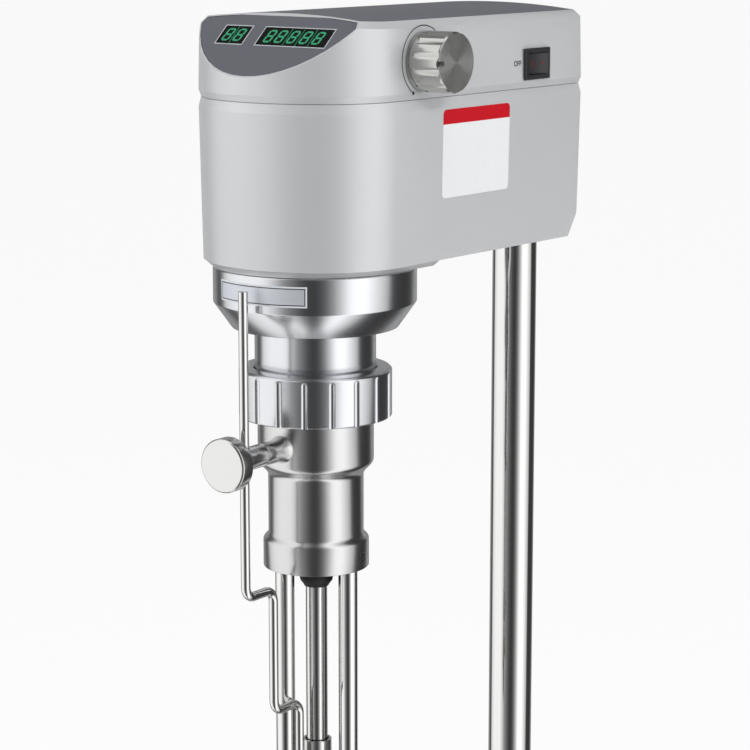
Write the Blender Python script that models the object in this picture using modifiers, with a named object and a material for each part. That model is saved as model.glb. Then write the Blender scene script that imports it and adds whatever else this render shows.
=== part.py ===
"""Bench rotor stator homogenizer: a motor head that slides on a round column, a union ring,
a bell, and a mixing unit of three rods, a shaft, a stator and a rotor.

Frame: +Z up, the display nose faces -Y, the speed knob and switch are on the +X side.
The origin is on the bench, under the middle of the base plate. Units are metres.
"""
import math

import bmesh
import bpy
from mathutils import Matrix, Vector

# Clearance between neighbours, and facet counts
GAP = 0.0003
FINE = 36
MEDIUM = 20
ROUND = 16
SMALL = 12

# Base, feet and column
BASE_WIDTH = 0.210
BASE_LENGTH = 0.340
BASE_THICKNESS = 0.025
BASE_CORNER = 0.022
BASE_EDGE = 0.003
FOOT_RADIUS = 0.016
FOOT_HEIGHT = 0.008
FOOT_CHAMFER_HEIGHT = 0.0024
FOOT_CHAMFER = 0.0019
FOOT_SETBACK = 0.028
COLUMN_RADIUS = 0.015
COLUMN_WALL = 0.003
COLUMN_SETBACK = 0.030
COLUMN_RECESS = 0.012
COLUMN_TOP_DROP = 0.012
CAP_HEIGHT = 0.004
CAP_PLUG = 0.012
CAP_EDGE = 0.0022
CAP_EDGE_HEIGHT = 0.0016
FLANGE_RADIUS = 0.0275
FLANGE_THICKNESS = 0.006
FLANGE_COLLAR_WALL = 0.004
FLANGE_COLLAR_HEIGHT = 0.012
FLANGE_EDGE = 0.001
FLANGE_SCREW_CIRCLE = 0.0235
FLANGE_SCREW_RADIUS = 0.0020
FLANGE_SCREW_HEAD = 0.0032
FLANGE_SCREW_HEAD_HEIGHT = 0.0022
FLANGE_SCREW_DEPTH = 0.010

# The head, each height measured down from the one before, from the top of the crown
HEAD_TOP = 0.730
COVER_HEIGHT = 0.0508
BODY_HEIGHT = 0.0994
PAD_HEIGHT = 0.0038
COLLAR_RIM_HEIGHT = 0.0224
COLLAR_CONE_HEIGHT = 0.0160
NECK_HEIGHT = 0.0250
RING_HEIGHT = 0.0315
BELL_RIM_HEIGHT = 0.0274
BELL_SHOULDER_HEIGHT = 0.0101
BELL_WAIST_HEIGHT = 0.0362
BELL_FLARE_HEIGHT = 0.0055
BELL_FOOT_HEIGHT = 0.0168
ROD_FREE_LENGTH = 0.2150

# Housing
AXIS_REACH = 0.215
HOUSING_WIDTH = 0.1396
COLUMN_TO_BODY = 0.025
REAR_CORNER = 0.003
NOSE_START = 0.007
NOSE_LENGTH = 0.060
NOSE_STEPS = 24
WALL = 0.003
CROWN = 0.0036
TOP_BEVEL = 0.0038
COVER_DRAFT = 0.0009
BODY_DRAFT = 0.0018
SEAM_INSET = 0.0015
COVER_CHAMFER = 0.0042
BODY_CHAMFER = 0.0062
PAD_LENGTH = 0.038
REAR_CHAMFER_DEPTH = 0.012
REAR_CHAMFER_HEIGHT = 0.019

# Display facet, its overlay, windows and board
FACET_REACH = 0.028
FACET_DROP = 0.0012
FACET_SLOPE = math.radians(42.0)
PANEL_THICKNESS = 0.001
PANEL_MARGIN = 0.0008
WINDOW_DOWN = 0.0178
WINDOW_HEIGHT = 0.0149
CURRENT_ACROSS = -0.0281
CURRENT_WIDTH = 0.0208
SPEED_ACROSS = 0.0193
SPEED_WIDTH = 0.0530
WINDOW_LEDGE = 0.0012
BOARD_THICKNESS = 0.0016
BOARD_MARGIN = 0.001

# Speed knob and its potentiometer
KNOB_BACK = 0.0185
KNOB_DOWN = 0.0281
KNOB_RADIUS = 0.0183
KNOB_LENGTH = 0.0233
KNOB_CHAMFER = 0.0010
KNOB_FLUTES = 12
KNOB_FLUTE_RADIUS = 0.0060
KNOB_FLUTE_DEPTH = 0.0008
KNOB_RIM = 0.0045
KNOB_BORE_DEPTH = 0.0150
NOTCH_WIDTH = 0.0030
NOTCH_DEPTH = 0.0014
NOTCH_LENGTH = 0.0060
POT_RADIUS = 0.012
POT_LENGTH = 0.011
POT_BUSH = 0.0045
POT_SHAFT = 0.0030

# Power switch
SWITCH_BACK = 0.1358
SWITCH_DOWN = 0.0355
BEZEL_LENGTH = 0.0274
BEZEL_HEIGHT = 0.0198
BEZEL_THICKNESS = 0.0018
BEZEL_LIP = 0.0020
BEZEL_EDGE = 0.0006
SWITCH_DEPTH = 0.016
SWITCH_FLOOR = 0.003
ROCKER_LENGTH = 0.0200
ROCKER_HEIGHT = 0.0130
ROCKER_RISE = 0.0022
ROCKER_DISH = 0.0012
ROCKER_DEPTH = 0.0050
ROCKER_TAPER = 0.0030
ROCKER_SHOULDER = 0.0014
ROCKER_CLEAR = 0.0005
ROCKER_TILT = math.radians(7.0)

# Mains inlet and control board
INLET_ACROSS = -0.047
INLET_UP = 0.055
INLET_WIDTH = 0.030
INLET_HEIGHT = 0.023
INLET_FLANGE = 0.0020
INLET_DEPTH = 0.018
INLET_WALL = 0.0025
PIN_SIZE = 0.0020
PIN_SPACING = 0.007
CONTROL_WIDTH = 0.090
CONTROL_LENGTH = 0.080
CONTROL_SETBACK = 0.022
HEAT_SINK_WIDTH = 0.045
HEAT_SINK_LENGTH = 0.012
HEAT_SINK_HEIGHT = 0.012
CAPACITOR_RADIUS = 0.009
CAPACITOR_ACROSS = -0.0225
CAPACITOR_HEIGHT = 0.022
POST_RADIUS = 0.0035
POST_HEIGHT = 0.008
POST_INSET = 0.006

# Motor and the coupling under it
MOTOR_RADIUS = 0.050
MOTOR_HEIGHT = 0.096
MOTOR_BORE = 0.034
MOTOR_END = 0.010
MOTOR_SHAFT = 0.005
MOTOR_BEARING = 0.011
MOTOR_EDGE = 0.0012
ARMATURE_CLEAR = 0.0007
ARMATURE_END_CLEAR = 0.002
FAN_RADIUS = 0.034
FAN_HUB = 0.009
FAN_DISC = 0.0015
FAN_BLADE_HEIGHT = 0.006
FAN_BLADE_WIDTH = 0.0014
FAN_BLADES = 8
COUPLING_RADIUS = 0.014
COUPLING_LENGTH = 0.014
TONGUE_WIDTH = 0.008
TONGUE_DEPTH = 0.006
TONGUE_INSET = 0.0012

# Collar, neck and union ring
COLLAR_RADIUS = 0.0630
COLLAR_CONE_RADIUS = 0.0517
COLLAR_EDGE = 0.0012
COLLAR_WALL = 0.010
SPIGOT_RADIUS = 0.045
NECK_RADIUS = 0.0377
NECK_ENGAGE = 0.013
CHAMBER_RADIUS = 0.0190
RING_RADIUS = 0.0477
RING_TOP_CHAMFER = 0.0022
RING_TOP_SLOPE = 0.0018
RING_RECESS = 0.0016
RING_CLEAR = 0.0004
RING_LIP_CLEAR = 0.0005
RING_EDGE = 0.0008
RING_GROOVES = 16
RING_GROOVE_RADIUS = 0.0021
RING_GROOVE_DEPTH = 0.0014
RING_GROOVE_TOP = 0.0060
RING_GROOVE_TIP = 0.0006
RING_GROOVE_PHASE = math.radians(12.2)

# Bell
BELL_RADIUS = 0.0363
BELL_LUG_HEIGHT = 0.0060
BELL_WAIST_RADIUS = 0.0299
BELL_FOOT_RADIUS = 0.0332
BELL_EDGE = 0.0008
BELL_CHAMBER = 0.0240
BELL_FLOOR = 0.0310
BLEND_STEPS = 5
BEARING_RADIUS = 0.0160
BEARING_HEIGHT = 0.0100
BEARING_UP = 0.0205
SEAL_SEAT = 0.0100
SEAL_RADIUS = 0.0103
SEAL_TOP_LOBE = 0.0075
SEAL_LOWER_RADIUS = 0.0082
SEAL_LENGTH = 0.0139
SEAL_EDGE = 0.0008
SHAFT_RADIUS = 0.0068
SHAFT_CLEAR = 0.0005
SET_SCREW_RADIUS = 0.0022
SET_SCREW_UP = 0.0075
SET_SCREW_SINK = 0.0006

# Mixing unit
ROD_RADIUS = 0.0060
ROD_CIRCLE = 0.0228
ROD_PHASE = math.radians(-20.65)
ROD_SEAT = 0.0140
HOLDER_RADIUS = 0.0305
HOLDER_HEIGHT = 0.0100
HOLDER_EDGE = 0.0010
BUSH_RADIUS = 0.0100
BUSH_HEIGHT = 0.0120
BUSH_FLANGE = 0.0025
BUSH_FLANGE_WIDTH = 0.0020
STATOR_RADIUS = 0.0215
STATOR_WALL = 0.0030
STATOR_HEIGHT = 0.0260
STATOR_SLOTS = 12
STATOR_SLOT_WIDTH = 0.0030
STATOR_SLOT_UP = 0.0030
STATOR_SLOT_HEIGHT = 0.0140
ROTOR_CLEAR = 0.0006
ROTOR_UP = 0.0020
ROTOR_HEIGHT = 0.0170
ROTOR_HUB = 0.0080
ROTOR_SPIGOT = 0.0040
ROTOR_BLADES = 4
ROTOR_BLADE_WIDTH = 0.0030

# Sliding baffle, its bent rod and the clamp
BAFFLE_DOWN = 0.1401
BAFFLE_RADIUS = 0.0340
BAFFLE_THICKNESS = 0.0025
BAFFLE_SLEEVE_RADIUS = 0.0092
BAFFLE_SLEEVE_HEIGHT = 0.0253
BAFFLE_CLEAR = 0.0008
WIRE_RADIUS = 0.0029
WIRE_BEND = 0.0075
WIRE_BEND_STEPS = 6
WIRE_OUTER = 0.0716
WIRE_MIDDLE = 0.0444
WIRE_INNER = 0.0187
WIRE_LOWER_RUN = 0.0542
WIRE_UPPER_RUN = 0.0790
WIRE_TOP = 0.1892
STUD_ANGLE = math.radians(2.5)
STUD_DOWN = 0.0161
STUD_RADIUS = 0.0071
STUD_SPLIT = 0.0560
STUD_FLARE = 0.0035
STUD_FLARE_LENGTH = 0.0120
SLEEVE_SPIGOT = 0.0041
SLEEVE_SPIGOT_LENGTH = 0.008
CLAMP_RADIUS = 0.0165
CLAMP_THICKNESS = 0.0104
CLAMP_FACE = 0.0935
CLAMP_EDGE = 0.0010
CLAMP_SCREW = 0.0038

# Bracket on the column, with its bushes and clamp lever
BRACKET_HALF_WIDTH = 0.0245
BRACKET_HEIGHT = 0.095
BRACKET_UP = 0.015
BRACKET_RELIEF = 0.0025
COLUMN_CLEAR = 0.0004
COLUMN_BUSH_WALL = 0.0035
COLUMN_BUSH_HEIGHT = 0.018
BRACKET_SCREW_RADIUS = 0.0030
BRACKET_SCREW_HEAD = 0.0050
BRACKET_SCREW_HEAD_HEIGHT = 0.0045
BRACKET_SCREW_DEPTH = 0.0060
BRACKET_SCREW_SPACING = 0.050
LEVER_SCREW = 0.0050
LEVER_HUB_RADIUS = 0.0090
LEVER_HUB_LENGTH = 0.0150
LEVER_ARM_LENGTH = 0.050
LEVER_ARM_RADIUS = 0.0038
LEVER_BALL = 0.0075
LEVER_EDGE = 0.0010
LEVER_LEAN = math.radians(14.0)

# Places worked out from the sizes above
COLUMN_Y = BASE_LENGTH / 2 - COLUMN_SETBACK
AXIS_Y = COLUMN_Y - AXIS_REACH
HALF_WIDTH = HOUSING_WIDTH / 2
REAR_REACH = AXIS_REACH - COLUMN_TO_BODY
REAR_Y = AXIS_Y + REAR_REACH
BASE_Z = FOOT_HEIGHT + GAP
BASE_TOP = BASE_Z + BASE_THICKNESS
COLUMN_TOP = HEAD_TOP - COLUMN_TOP_DROP
SEAM_Z = HEAD_TOP - COVER_HEIGHT
BODY_Z = SEAM_Z - BODY_HEIGHT
PAD_Z = BODY_Z - PAD_HEIGHT
RIM_Z = PAD_Z - COLLAR_RIM_HEIGHT
CONE_Z = RIM_Z - COLLAR_CONE_HEIGHT
RING_TOP_Z = CONE_Z - NECK_HEIGHT
RING_Z = RING_TOP_Z - RING_HEIGHT
BELL_RIM_Z = RING_Z - BELL_RIM_HEIGHT
SHOULDER_Z = BELL_RIM_Z - BELL_SHOULDER_HEIGHT
WAIST_Z = SHOULDER_Z - BELL_WAIST_HEIGHT
FLARE_Z = WAIST_Z - BELL_FLARE_HEIGHT
BELL_Z = FLARE_Z - BELL_FOOT_HEIGHT
STATOR_Z = BELL_Z - ROD_FREE_LENGTH
STATOR_TOP_Z = STATOR_Z + STATOR_HEIGHT
HOLDER_Z = STATOR_TOP_Z + GAP
HOLDER_TOP_Z = HOLDER_Z + HOLDER_HEIGHT
NECK_END_Z = RING_TOP_Z - NECK_ENGAGE
BELL_TOP_Z = NECK_END_Z - GAP
STUD_Z = RING_Z - STUD_DOWN
BAFFLE_Z = BELL_Z - BAFFLE_DOWN
FLOOR_Z = BODY_Z + WALL
MOTOR_Z = FLOOR_Z + GAP
MOTOR_TOP_Z = MOTOR_Z + MOTOR_HEIGHT
ARMATURE_LOW_Z = MOTOR_Z + MOTOR_END + ARMATURE_END_CLEAR
ARMATURE_TOP_Z = MOTOR_TOP_Z - MOTOR_END - ARMATURE_END_CLEAR
FAN_Z = MOTOR_TOP_Z + ARMATURE_END_CLEAR
FAN_TOP_Z = FAN_Z + FAN_DISC + FAN_BLADE_HEIGHT
SHAFT_TOP_Z = BELL_TOP_Z - TONGUE_DEPTH - GAP
BRACKET_Z = BODY_Z + BRACKET_UP
LEVER_Z = BRACKET_Z + BRACKET_HEIGHT / 2
KNOB_Y = AXIS_Y + KNOB_BACK
KNOB_Z = HEAD_TOP - KNOB_DOWN
SWITCH_Y = AXIS_Y + SWITCH_BACK
SWITCH_Z = HEAD_TOP - SWITCH_DOWN
MITRE = math.tan(math.radians(22.5))

parts = bpy.data.collections.new("rotor_stator_homogenizer")
cutters = bpy.data.collections.new("cutters")


def clear_scene():
    """Start from an empty scene with two collections."""
    for item in list(bpy.data.objects):
        bpy.data.objects.remove(item, do_unlink=True)
    bpy.context.scene.collection.children.link(parts)
    bpy.context.scene.collection.children.link(cutters)


def material(name, colour, roughness, metallic=0.0):
    """A Principled material, made once for each name."""
    found = bpy.data.materials.get(name)
    if found:
        return found
    made = bpy.data.materials.new(name)
    made.use_nodes = True
    shader = made.node_tree.nodes["Principled BSDF"]
    shader.inputs["Base Color"].default_value = (*colour, 1.0)
    shader.inputs["Roughness"].default_value = roughness
    shader.inputs["Metallic"].default_value = metallic
    return made


def paint():
    return material("pale_grey_paint", (0.52, 0.53, 0.54), 0.38)


def polished_steel():
    return material("polished_steel", (0.78, 0.77, 0.75), 0.12, 1.0)


def brushed_steel():
    return material("brushed_steel", (0.62, 0.61, 0.60), 0.32, 1.0)


def aluminium():
    return material("turned_aluminium", (0.76, 0.77, 0.79), 0.28, 1.0)


def rubber():
    return material("black_rubber", (0.015, 0.015, 0.016), 0.65)


def plastic():
    return material("black_plastic", (0.02, 0.02, 0.022), 0.42)


def bronze():
    return material("bearing_bronze", (0.62, 0.43, 0.20), 0.35, 1.0)


def circuit_board():
    return material("circuit_board", (0.03, 0.20, 0.09), 0.55)


def slate_film():
    return material("slate_film", (0.13, 0.14, 0.17), 0.45)


def display_glass():
    return material("display_glass", (0.01, 0.01, 0.012), 0.08)


def finish_object(item, finish):
    """Give a part its material and file it with the parts."""
    item.data.materials.clear()
    item.data.materials.append(finish)
    parts.objects.link(item)
    return item


def as_cutter(item):
    """File a cutter away from the parts."""
    cutters.objects.link(item)
    item.hide_render = True
    item.display_type = "WIRE"
    return item


def object_from(name, bm):
    """An object of a bmesh, with its faces outward and its round sides smooth."""
    bmesh.ops.recalc_face_normals(bm, faces=bm.faces)
    mesh = bpy.data.meshes.new(name)
    bm.to_mesh(mesh)
    bm.free()
    mesh.shade_smooth()
    mesh.set_sharp_from_angle(angle=math.radians(35))
    return bpy.data.objects.new(name, mesh)


def block(name, low, high):
    """A box between two corners."""
    low = Vector(low)
    high = Vector(high)
    bm = bmesh.new()
    size = Matrix.Diagonal((*(high - low), 1.0))
    bmesh.ops.create_cube(bm, size=1.0, matrix=Matrix.Translation((low + high) / 2) @ size)
    return object_from(name, bm)


def rod_between(name, start, end, radius, steps=SMALL):
    """A cylinder between two points."""
    start = Vector(start)
    run = Vector(end) - start
    turn = Vector((0, 0, 1)).rotation_difference(run).to_matrix().to_4x4()
    bm = bmesh.new()
    bmesh.ops.create_cone(bm, cap_ends=True, segments=steps, radius1=radius, radius2=radius,
                          depth=run.length, matrix=Matrix.Translation(start + run / 2) @ turn)
    return object_from(name, bm)


def turned(name, profile, steps=MEDIUM, ring=False):
    """A turned shape: points (radius, height) run down the outer side, and up the bore of a ring."""
    mesh = bpy.data.meshes.new(name)
    edges = [(i, i + 1) for i in range(len(profile) - 1)]
    if ring:
        edges.append((len(profile) - 1, 0))
    mesh.from_pydata([(radius, 0.0, height) for radius, height in profile], edges, [])
    item = bpy.data.objects.new(name, mesh)
    screw = item.modifiers.new("turn", "SCREW")
    screw.steps = steps
    screw.render_steps = steps
    screw.use_merge_vertices = True
    screw.merge_threshold = 0.00002
    screw.use_smooth_shade = True
    return item


def meshed(item):
    """The evaluated shape of a curve or a turned profile, as a closed mesh object."""
    cutters.objects.link(item)
    name = item.name
    matrix = item.matrix_basis.copy()
    depsgraph = bpy.context.evaluated_depsgraph_get()
    mesh = bpy.data.meshes.new_from_object(item.evaluated_get(depsgraph))
    bpy.data.objects.remove(item)
    bm = bmesh.new()
    bm.from_mesh(mesh)
    bmesh.ops.remove_doubles(bm, verts=bm.verts, dist=0.00002)
    result = object_from(name, bm)
    result.matrix_basis = matrix
    return result


def boolean(item, other, operation="DIFFERENCE"):
    """Cut an object with another, or join or intersect them."""
    change = item.modifiers.new(operation.lower() + "_" + other.name, "BOOLEAN")
    change.operation = operation
    change.solver = "EXACT"
    change.object = other
    return item


def joined(name, items):
    """Separate shapes as one mesh, to cut with all at once."""
    bm = bmesh.new()
    for item in items:
        start = len(bm.verts)
        bm.from_mesh(item.data)
        bm.verts.ensure_lookup_table()
        bmesh.ops.transform(bm, matrix=item.matrix_basis, verts=bm.verts[start:])
        bpy.data.objects.remove(item)
    return object_from(name, bm)


def pattern(name, shape, count, phase=0.0):
    """Copies of a shape turned round the mixing axis, as one mesh."""
    bm = bmesh.new()
    for number in range(count):
        start = len(bm.verts)
        bm.from_mesh(shape.data)
        bm.verts.ensure_lookup_table()
        turn = Matrix.Rotation(phase + math.tau * number / count, 4, "Z")
        bmesh.ops.transform(bm, matrix=turn @ shape.matrix_basis, verts=bm.verts[start:])
    bpy.data.objects.remove(shape)
    return on_axis(object_from(name, bm))


def on_axis(item):
    """Stand a turned piece on the mixing axis."""
    item.location = (0.0, AXIS_Y, 0.0)
    return item


def on_column(item):
    """Stand a turned piece on the column's axis."""
    item.location = (0.0, COLUMN_Y, 0.0)
    return item


def facing_x(item, y, z):
    """Lay a turned piece along +X, its heights becoming X."""
    item.rotation_euler = (0.0, math.pi / 2, 0.0)
    item.location = (0.0, y, z)
    return item


def facing_out(item, height):
    """Lay a turned piece along the clamp's radius, its heights becoming distance from the axis."""
    item.rotation_euler = (math.pi / 2, 0.0, STUD_ANGLE)
    item.location = (0.0, AXIS_Y, height)
    return item


def polar(radius, angle, height):
    """A point about the mixing axis, its angle counted from -Y towards +X."""
    return Vector((radius * math.sin(angle), AXIS_Y - radius * math.cos(angle), height))


def rod_angles():
    return [ROD_PHASE + math.tau * number / 3 for number in range(3)]


def plan(half, start, length, rear, corner):
    """An outline with an elliptical nose and a square rear, as two chains with matching X."""
    front = []
    back = []
    for step in range(NOSE_STEPS + 1):
        angle = math.pi * step / NOSE_STEPS
        x = half * math.cos(angle)
        front.append((x, AXIS_Y - start - length * math.sin(angle)))
        past = max(abs(x) - (half - corner), 0.0)
        back.append((x, rear - corner + math.sqrt(max(corner ** 2 - past ** 2, 0.0))))
    return front, back


def outline(inset):
    """The housing's outline, moved inwards."""
    corner = max(REAR_CORNER - inset, 0.0)
    return plan(HALF_WIDTH - inset, NOSE_START, NOSE_LENGTH - inset, REAR_Y - inset, corner)


def flat(height):
    return lambda x: height


def crowned(drop):
    """Height of the crowned top across its width, less a drop."""
    edge = HALF_WIDTH - COVER_DRAFT - TOP_BEVEL
    return lambda x: HEAD_TOP - drop - CROWN * (x / edge) ** 2


def loft(name, levels):
    """A solid through outlines from the lowest up, each with its height as a function of X."""
    bm = bmesh.new()
    rings = []
    for chains, height in levels:
        rings.append([[bm.verts.new((x, y, height(x))) for x, y in chain] for chain in chains])
    for lower, upper in zip(rings, rings[1:]):
        low = lower[0] + lower[1][::-1]
        high = upper[0] + upper[1][::-1]
        for i in range(len(low)):
            j = (i + 1) % len(low)
            bm.faces.new((low[i], low[j], high[j], high[i]))
    for front, back in (rings[0], rings[-1]):
        for i in range(len(front) - 1):
            bm.faces.new((front[i], front[i + 1], back[i + 1], back[i]))
    return object_from(name, bm)


def cover_levels(skin, low):
    """The top cover's outer form, or that form a skin thickness further in."""
    return [(outline(SEAM_INSET + skin), flat(low)),
            (outline(skin), flat(SEAM_Z + COVER_CHAMFER)),
            (outline(COVER_DRAFT + skin), crowned(TOP_BEVEL + skin * MITRE)),
            (outline(COVER_DRAFT + TOP_BEVEL + skin * MITRE), crowned(skin))]


def body_levels(skin, low, high):
    """The lower housing's outer form, or that form a skin thickness further in."""
    return [(outline(BODY_DRAFT + skin), flat(low)),
            (outline(skin), flat(SEAM_Z - BODY_CHAMFER)),
            (outline(SEAM_INSET + skin), flat(high))]


def tilted_box(name, origin, slope, across, width, start, end, low, high):
    """A box on a plane that falls away from its origin towards -Y: width along X, start to end
    down the slope, and low to high along the plane's normal."""
    down = Vector((0.0, -math.cos(slope), -math.sin(slope)))
    normal = Vector((0.0, -math.sin(slope), math.cos(slope)))
    middle = Vector(origin) + down * (start + end) / 2 + normal * (low + high) / 2
    turn = Matrix((Vector((1, 0, 0)), -down, normal)).transposed().to_4x4()
    size = Matrix.Diagonal((width, end - start, high - low, 1.0))
    bm = bmesh.new()
    place = Matrix.Translation(middle + Vector((across, 0, 0)))
    bmesh.ops.create_cube(bm, size=1.0, matrix=place @ turn @ size)
    return object_from(name, bm)


def facet_box(name, across, width, start, end, low, high):
    """A box placed on the display facet."""
    origin = (0.0, AXIS_Y - FACET_REACH, HEAD_TOP - FACET_DROP)
    return tilted_box(name, origin, FACET_SLOPE, across, width, start, end, low, high)


def window_box(name, across, width, grow, low, high):
    """A display window's box on the facet, grown on its four edges."""
    start = WINDOW_DOWN - WINDOW_HEIGHT / 2 - grow
    return facet_box(name, across, width + 2 * grow, start, start + WINDOW_HEIGHT + 2 * grow, low, high)


def both_windows(name, grow, low, high):
    return joined(name, [window_box(name + "_a", CURRENT_ACROSS, CURRENT_WIDTH, grow, low, high),
                         window_box(name + "_b", SPEED_ACROSS, SPEED_WIDTH, grow, low, high)])


def panel_blank(name, skin, low, high):
    """The overlay's outline: the facet, a margin in from its edges, between two depths."""
    blank = loft(name, cover_levels(PANEL_MARGIN + skin, SEAM_Z))
    slab = facet_box(name + "_slab", 0.0, 2 * HOUSING_WIDTH, PANEL_MARGIN + skin, REAR_REACH, low, high)
    return boolean(blank, as_cutter(slab), "INTERSECT")


def flange_spots(height):
    """Centres of the four flange screws."""
    spots = []
    for number in range(4):
        angle = math.pi / 4 + number * math.pi / 2
        spots.append(Vector((FLANGE_SCREW_CIRCLE * math.cos(angle),
                             COLUMN_Y + FLANGE_SCREW_CIRCLE * math.sin(angle), height)))
    return spots


def make_base():
    """Painted steel plate with a recess for the column and tapped holes for its flange."""
    plate = block("base_plate", (-BASE_WIDTH / 2, -BASE_LENGTH / 2, BASE_Z),
                  (BASE_WIDTH / 2, BASE_LENGTH / 2, BASE_TOP))
    bm = bmesh.new()
    bm.from_mesh(plate.data)
    upright = [edge for edge in bm.edges if abs(edge.verts[0].co.z - edge.verts[1].co.z) > GAP]
    bmesh.ops.bevel(bm, geom=upright, offset=BASE_CORNER, segments=6, profile=0.5, affect="EDGES")
    bm.to_mesh(plate.data)
    bm.free()
    rim = plate.modifiers.new("edge", "BEVEL")
    rim.width = BASE_EDGE
    rim.segments = 2
    rim.limit_method = "ANGLE"
    rim.angle_limit = math.radians(60)
    recess = rod_between("column_recess", (0, COLUMN_Y, BASE_TOP - COLUMN_RECESS),
                         (0, COLUMN_Y, BASE_TOP + WALL), COLUMN_RADIUS + GAP, MEDIUM)
    boolean(plate, as_cutter(recess))
    depth = FLANGE_SCREW_DEPTH + GAP
    holes = [rod_between("hole", spot - Vector((0, 0, depth)), spot + Vector((0, 0, WALL)),
                         FLANGE_SCREW_RADIUS + GAP) for spot in flange_spots(BASE_TOP)]
    boolean(plate, as_cutter(joined("base_screw_holes", holes)))
    finish_object(plate, paint())


def make_feet():
    """Four rubber feet under the corners."""
    profile = [(0.0, FOOT_HEIGHT), (FOOT_RADIUS, FOOT_HEIGHT), (FOOT_RADIUS, FOOT_CHAMFER_HEIGHT),
               (FOOT_RADIUS - FOOT_CHAMFER, 0.0), (0.0, 0.0)]
    for side, x in (("left", -1), ("right", 1)):
        for end, y in (("front", -1), ("rear", 1)):
            foot = turned("foot_" + end + "_" + side, profile, SMALL)
            foot.location = (x * (BASE_WIDTH / 2 - FOOT_SETBACK), y * (BASE_LENGTH / 2 - FOOT_SETBACK), 0.0)
            finish_object(foot, rubber())


def make_column():
    """Polished tube with a plug in its top, held by a flange and four screws."""
    low = BASE_TOP - COLUMN_RECESS + GAP
    bore = COLUMN_RADIUS - COLUMN_WALL
    tube = turned("column", [(COLUMN_RADIUS, COLUMN_TOP), (COLUMN_RADIUS, low),
                             (bore, low), (bore, COLUMN_TOP)], ring=True)
    finish_object(on_column(tube), polished_steel())
    seat = COLUMN_TOP + GAP
    plug = turned("column_cap", [(0.0, seat + CAP_HEIGHT), (COLUMN_RADIUS - CAP_EDGE, seat + CAP_HEIGHT),
                                 (COLUMN_RADIUS, seat + CAP_HEIGHT - CAP_EDGE_HEIGHT), (COLUMN_RADIUS, seat),
                                 (bore - GAP, seat), (bore - GAP, seat - CAP_PLUG), (0.0, seat - CAP_PLUG)])
    finish_object(on_column(plug), plastic())
    hole = COLUMN_RADIUS + GAP
    floor = BASE_TOP + GAP
    ledge = floor + FLANGE_THICKNESS
    collar = hole + FLANGE_COLLAR_WALL
    flange = turned("column_flange", [(hole, ledge + FLANGE_COLLAR_HEIGHT),
                                      (collar - FLANGE_EDGE, ledge + FLANGE_COLLAR_HEIGHT),
                                      (collar, ledge + FLANGE_COLLAR_HEIGHT - FLANGE_EDGE),
                                      (collar, ledge), (FLANGE_RADIUS - FLANGE_EDGE, ledge),
                                      (FLANGE_RADIUS, ledge - FLANGE_EDGE),
                                      (FLANGE_RADIUS, floor), (hole, floor)], ring=True)
    holes = [rod_between("hole", spot - Vector((0, 0, WALL)), spot + Vector((0, 0, FLANGE_THICKNESS + WALL)),
                         FLANGE_SCREW_RADIUS + GAP) for spot in flange_spots(floor)]
    boolean(on_column(flange), as_cutter(joined("flange_holes", holes)))
    finish_object(flange, paint())
    head = FLANGE_SCREW_HEAD_HEIGHT
    length = FLANGE_THICKNESS + FLANGE_SCREW_DEPTH
    for number, spot in enumerate(flange_spots(ledge + GAP)):
        screw = turned("flange_screw_" + str(number + 1),
                       [(0.0, head), (FLANGE_SCREW_HEAD, head), (FLANGE_SCREW_HEAD, 0.0),
                        (FLANGE_SCREW_RADIUS, 0.0), (FLANGE_SCREW_RADIUS, -length), (0.0, -length)], SMALL)
        screw.location = spot
        finish_object(screw, brushed_steel())


def make_cover():
    """Top cover: a crowned shell with the display facet, and holes for the knob, switch and windows."""
    cover = loft("top_cover", cover_levels(0.0, SEAM_Z + GAP / 2))
    wide = 2 * HOUSING_WIDTH
    boolean(cover, as_cutter(facet_box("facet_cut", 0.0, wide, -REAR_REACH, REAR_REACH, 0.0, HOUSING_WIDTH)))
    cavity = as_cutter(loft("cover_cavity", cover_levels(WALL, SEAM_Z - WALL)))
    boolean(cavity, as_cutter(facet_box("cavity_facet", 0.0, wide, -REAR_REACH, REAR_REACH, -WALL, HOUSING_WIDTH)))
    boolean(cover, cavity)
    boolean(cover, as_cutter(panel_blank("panel_pocket", 0.0, -PANEL_THICKNESS - GAP, WALL)))
    boolean(cover, as_cutter(both_windows("window_holes", -WINDOW_LEDGE, -2 * WALL, WALL)))
    boolean(cover, as_cutter(rod_between("pot_hole", (HALF_WIDTH - 3 * WALL, KNOB_Y, KNOB_Z),
                                         (HALF_WIDTH + WALL, KNOB_Y, KNOB_Z), POT_BUSH + GAP)))
    boolean(cover, as_cutter(switch_box("switch_hole", BEZEL_LIP - GAP, -3 * WALL, WALL)))
    finish_object(cover, paint())


def control_rear():
    """Y of the control board's rear edge."""
    return REAR_Y - CONTROL_SETBACK


def post_spots():
    """Feet of the four posts that carry the control board."""
    x = CONTROL_WIDTH / 2 - POST_INSET
    near = control_rear() - CONTROL_LENGTH + POST_INSET
    far = control_rear() - POST_INSET
    return [Vector((side * x, y, FLOOR_Z)) for side in (-1, 1) for y in (near, far)]


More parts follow.
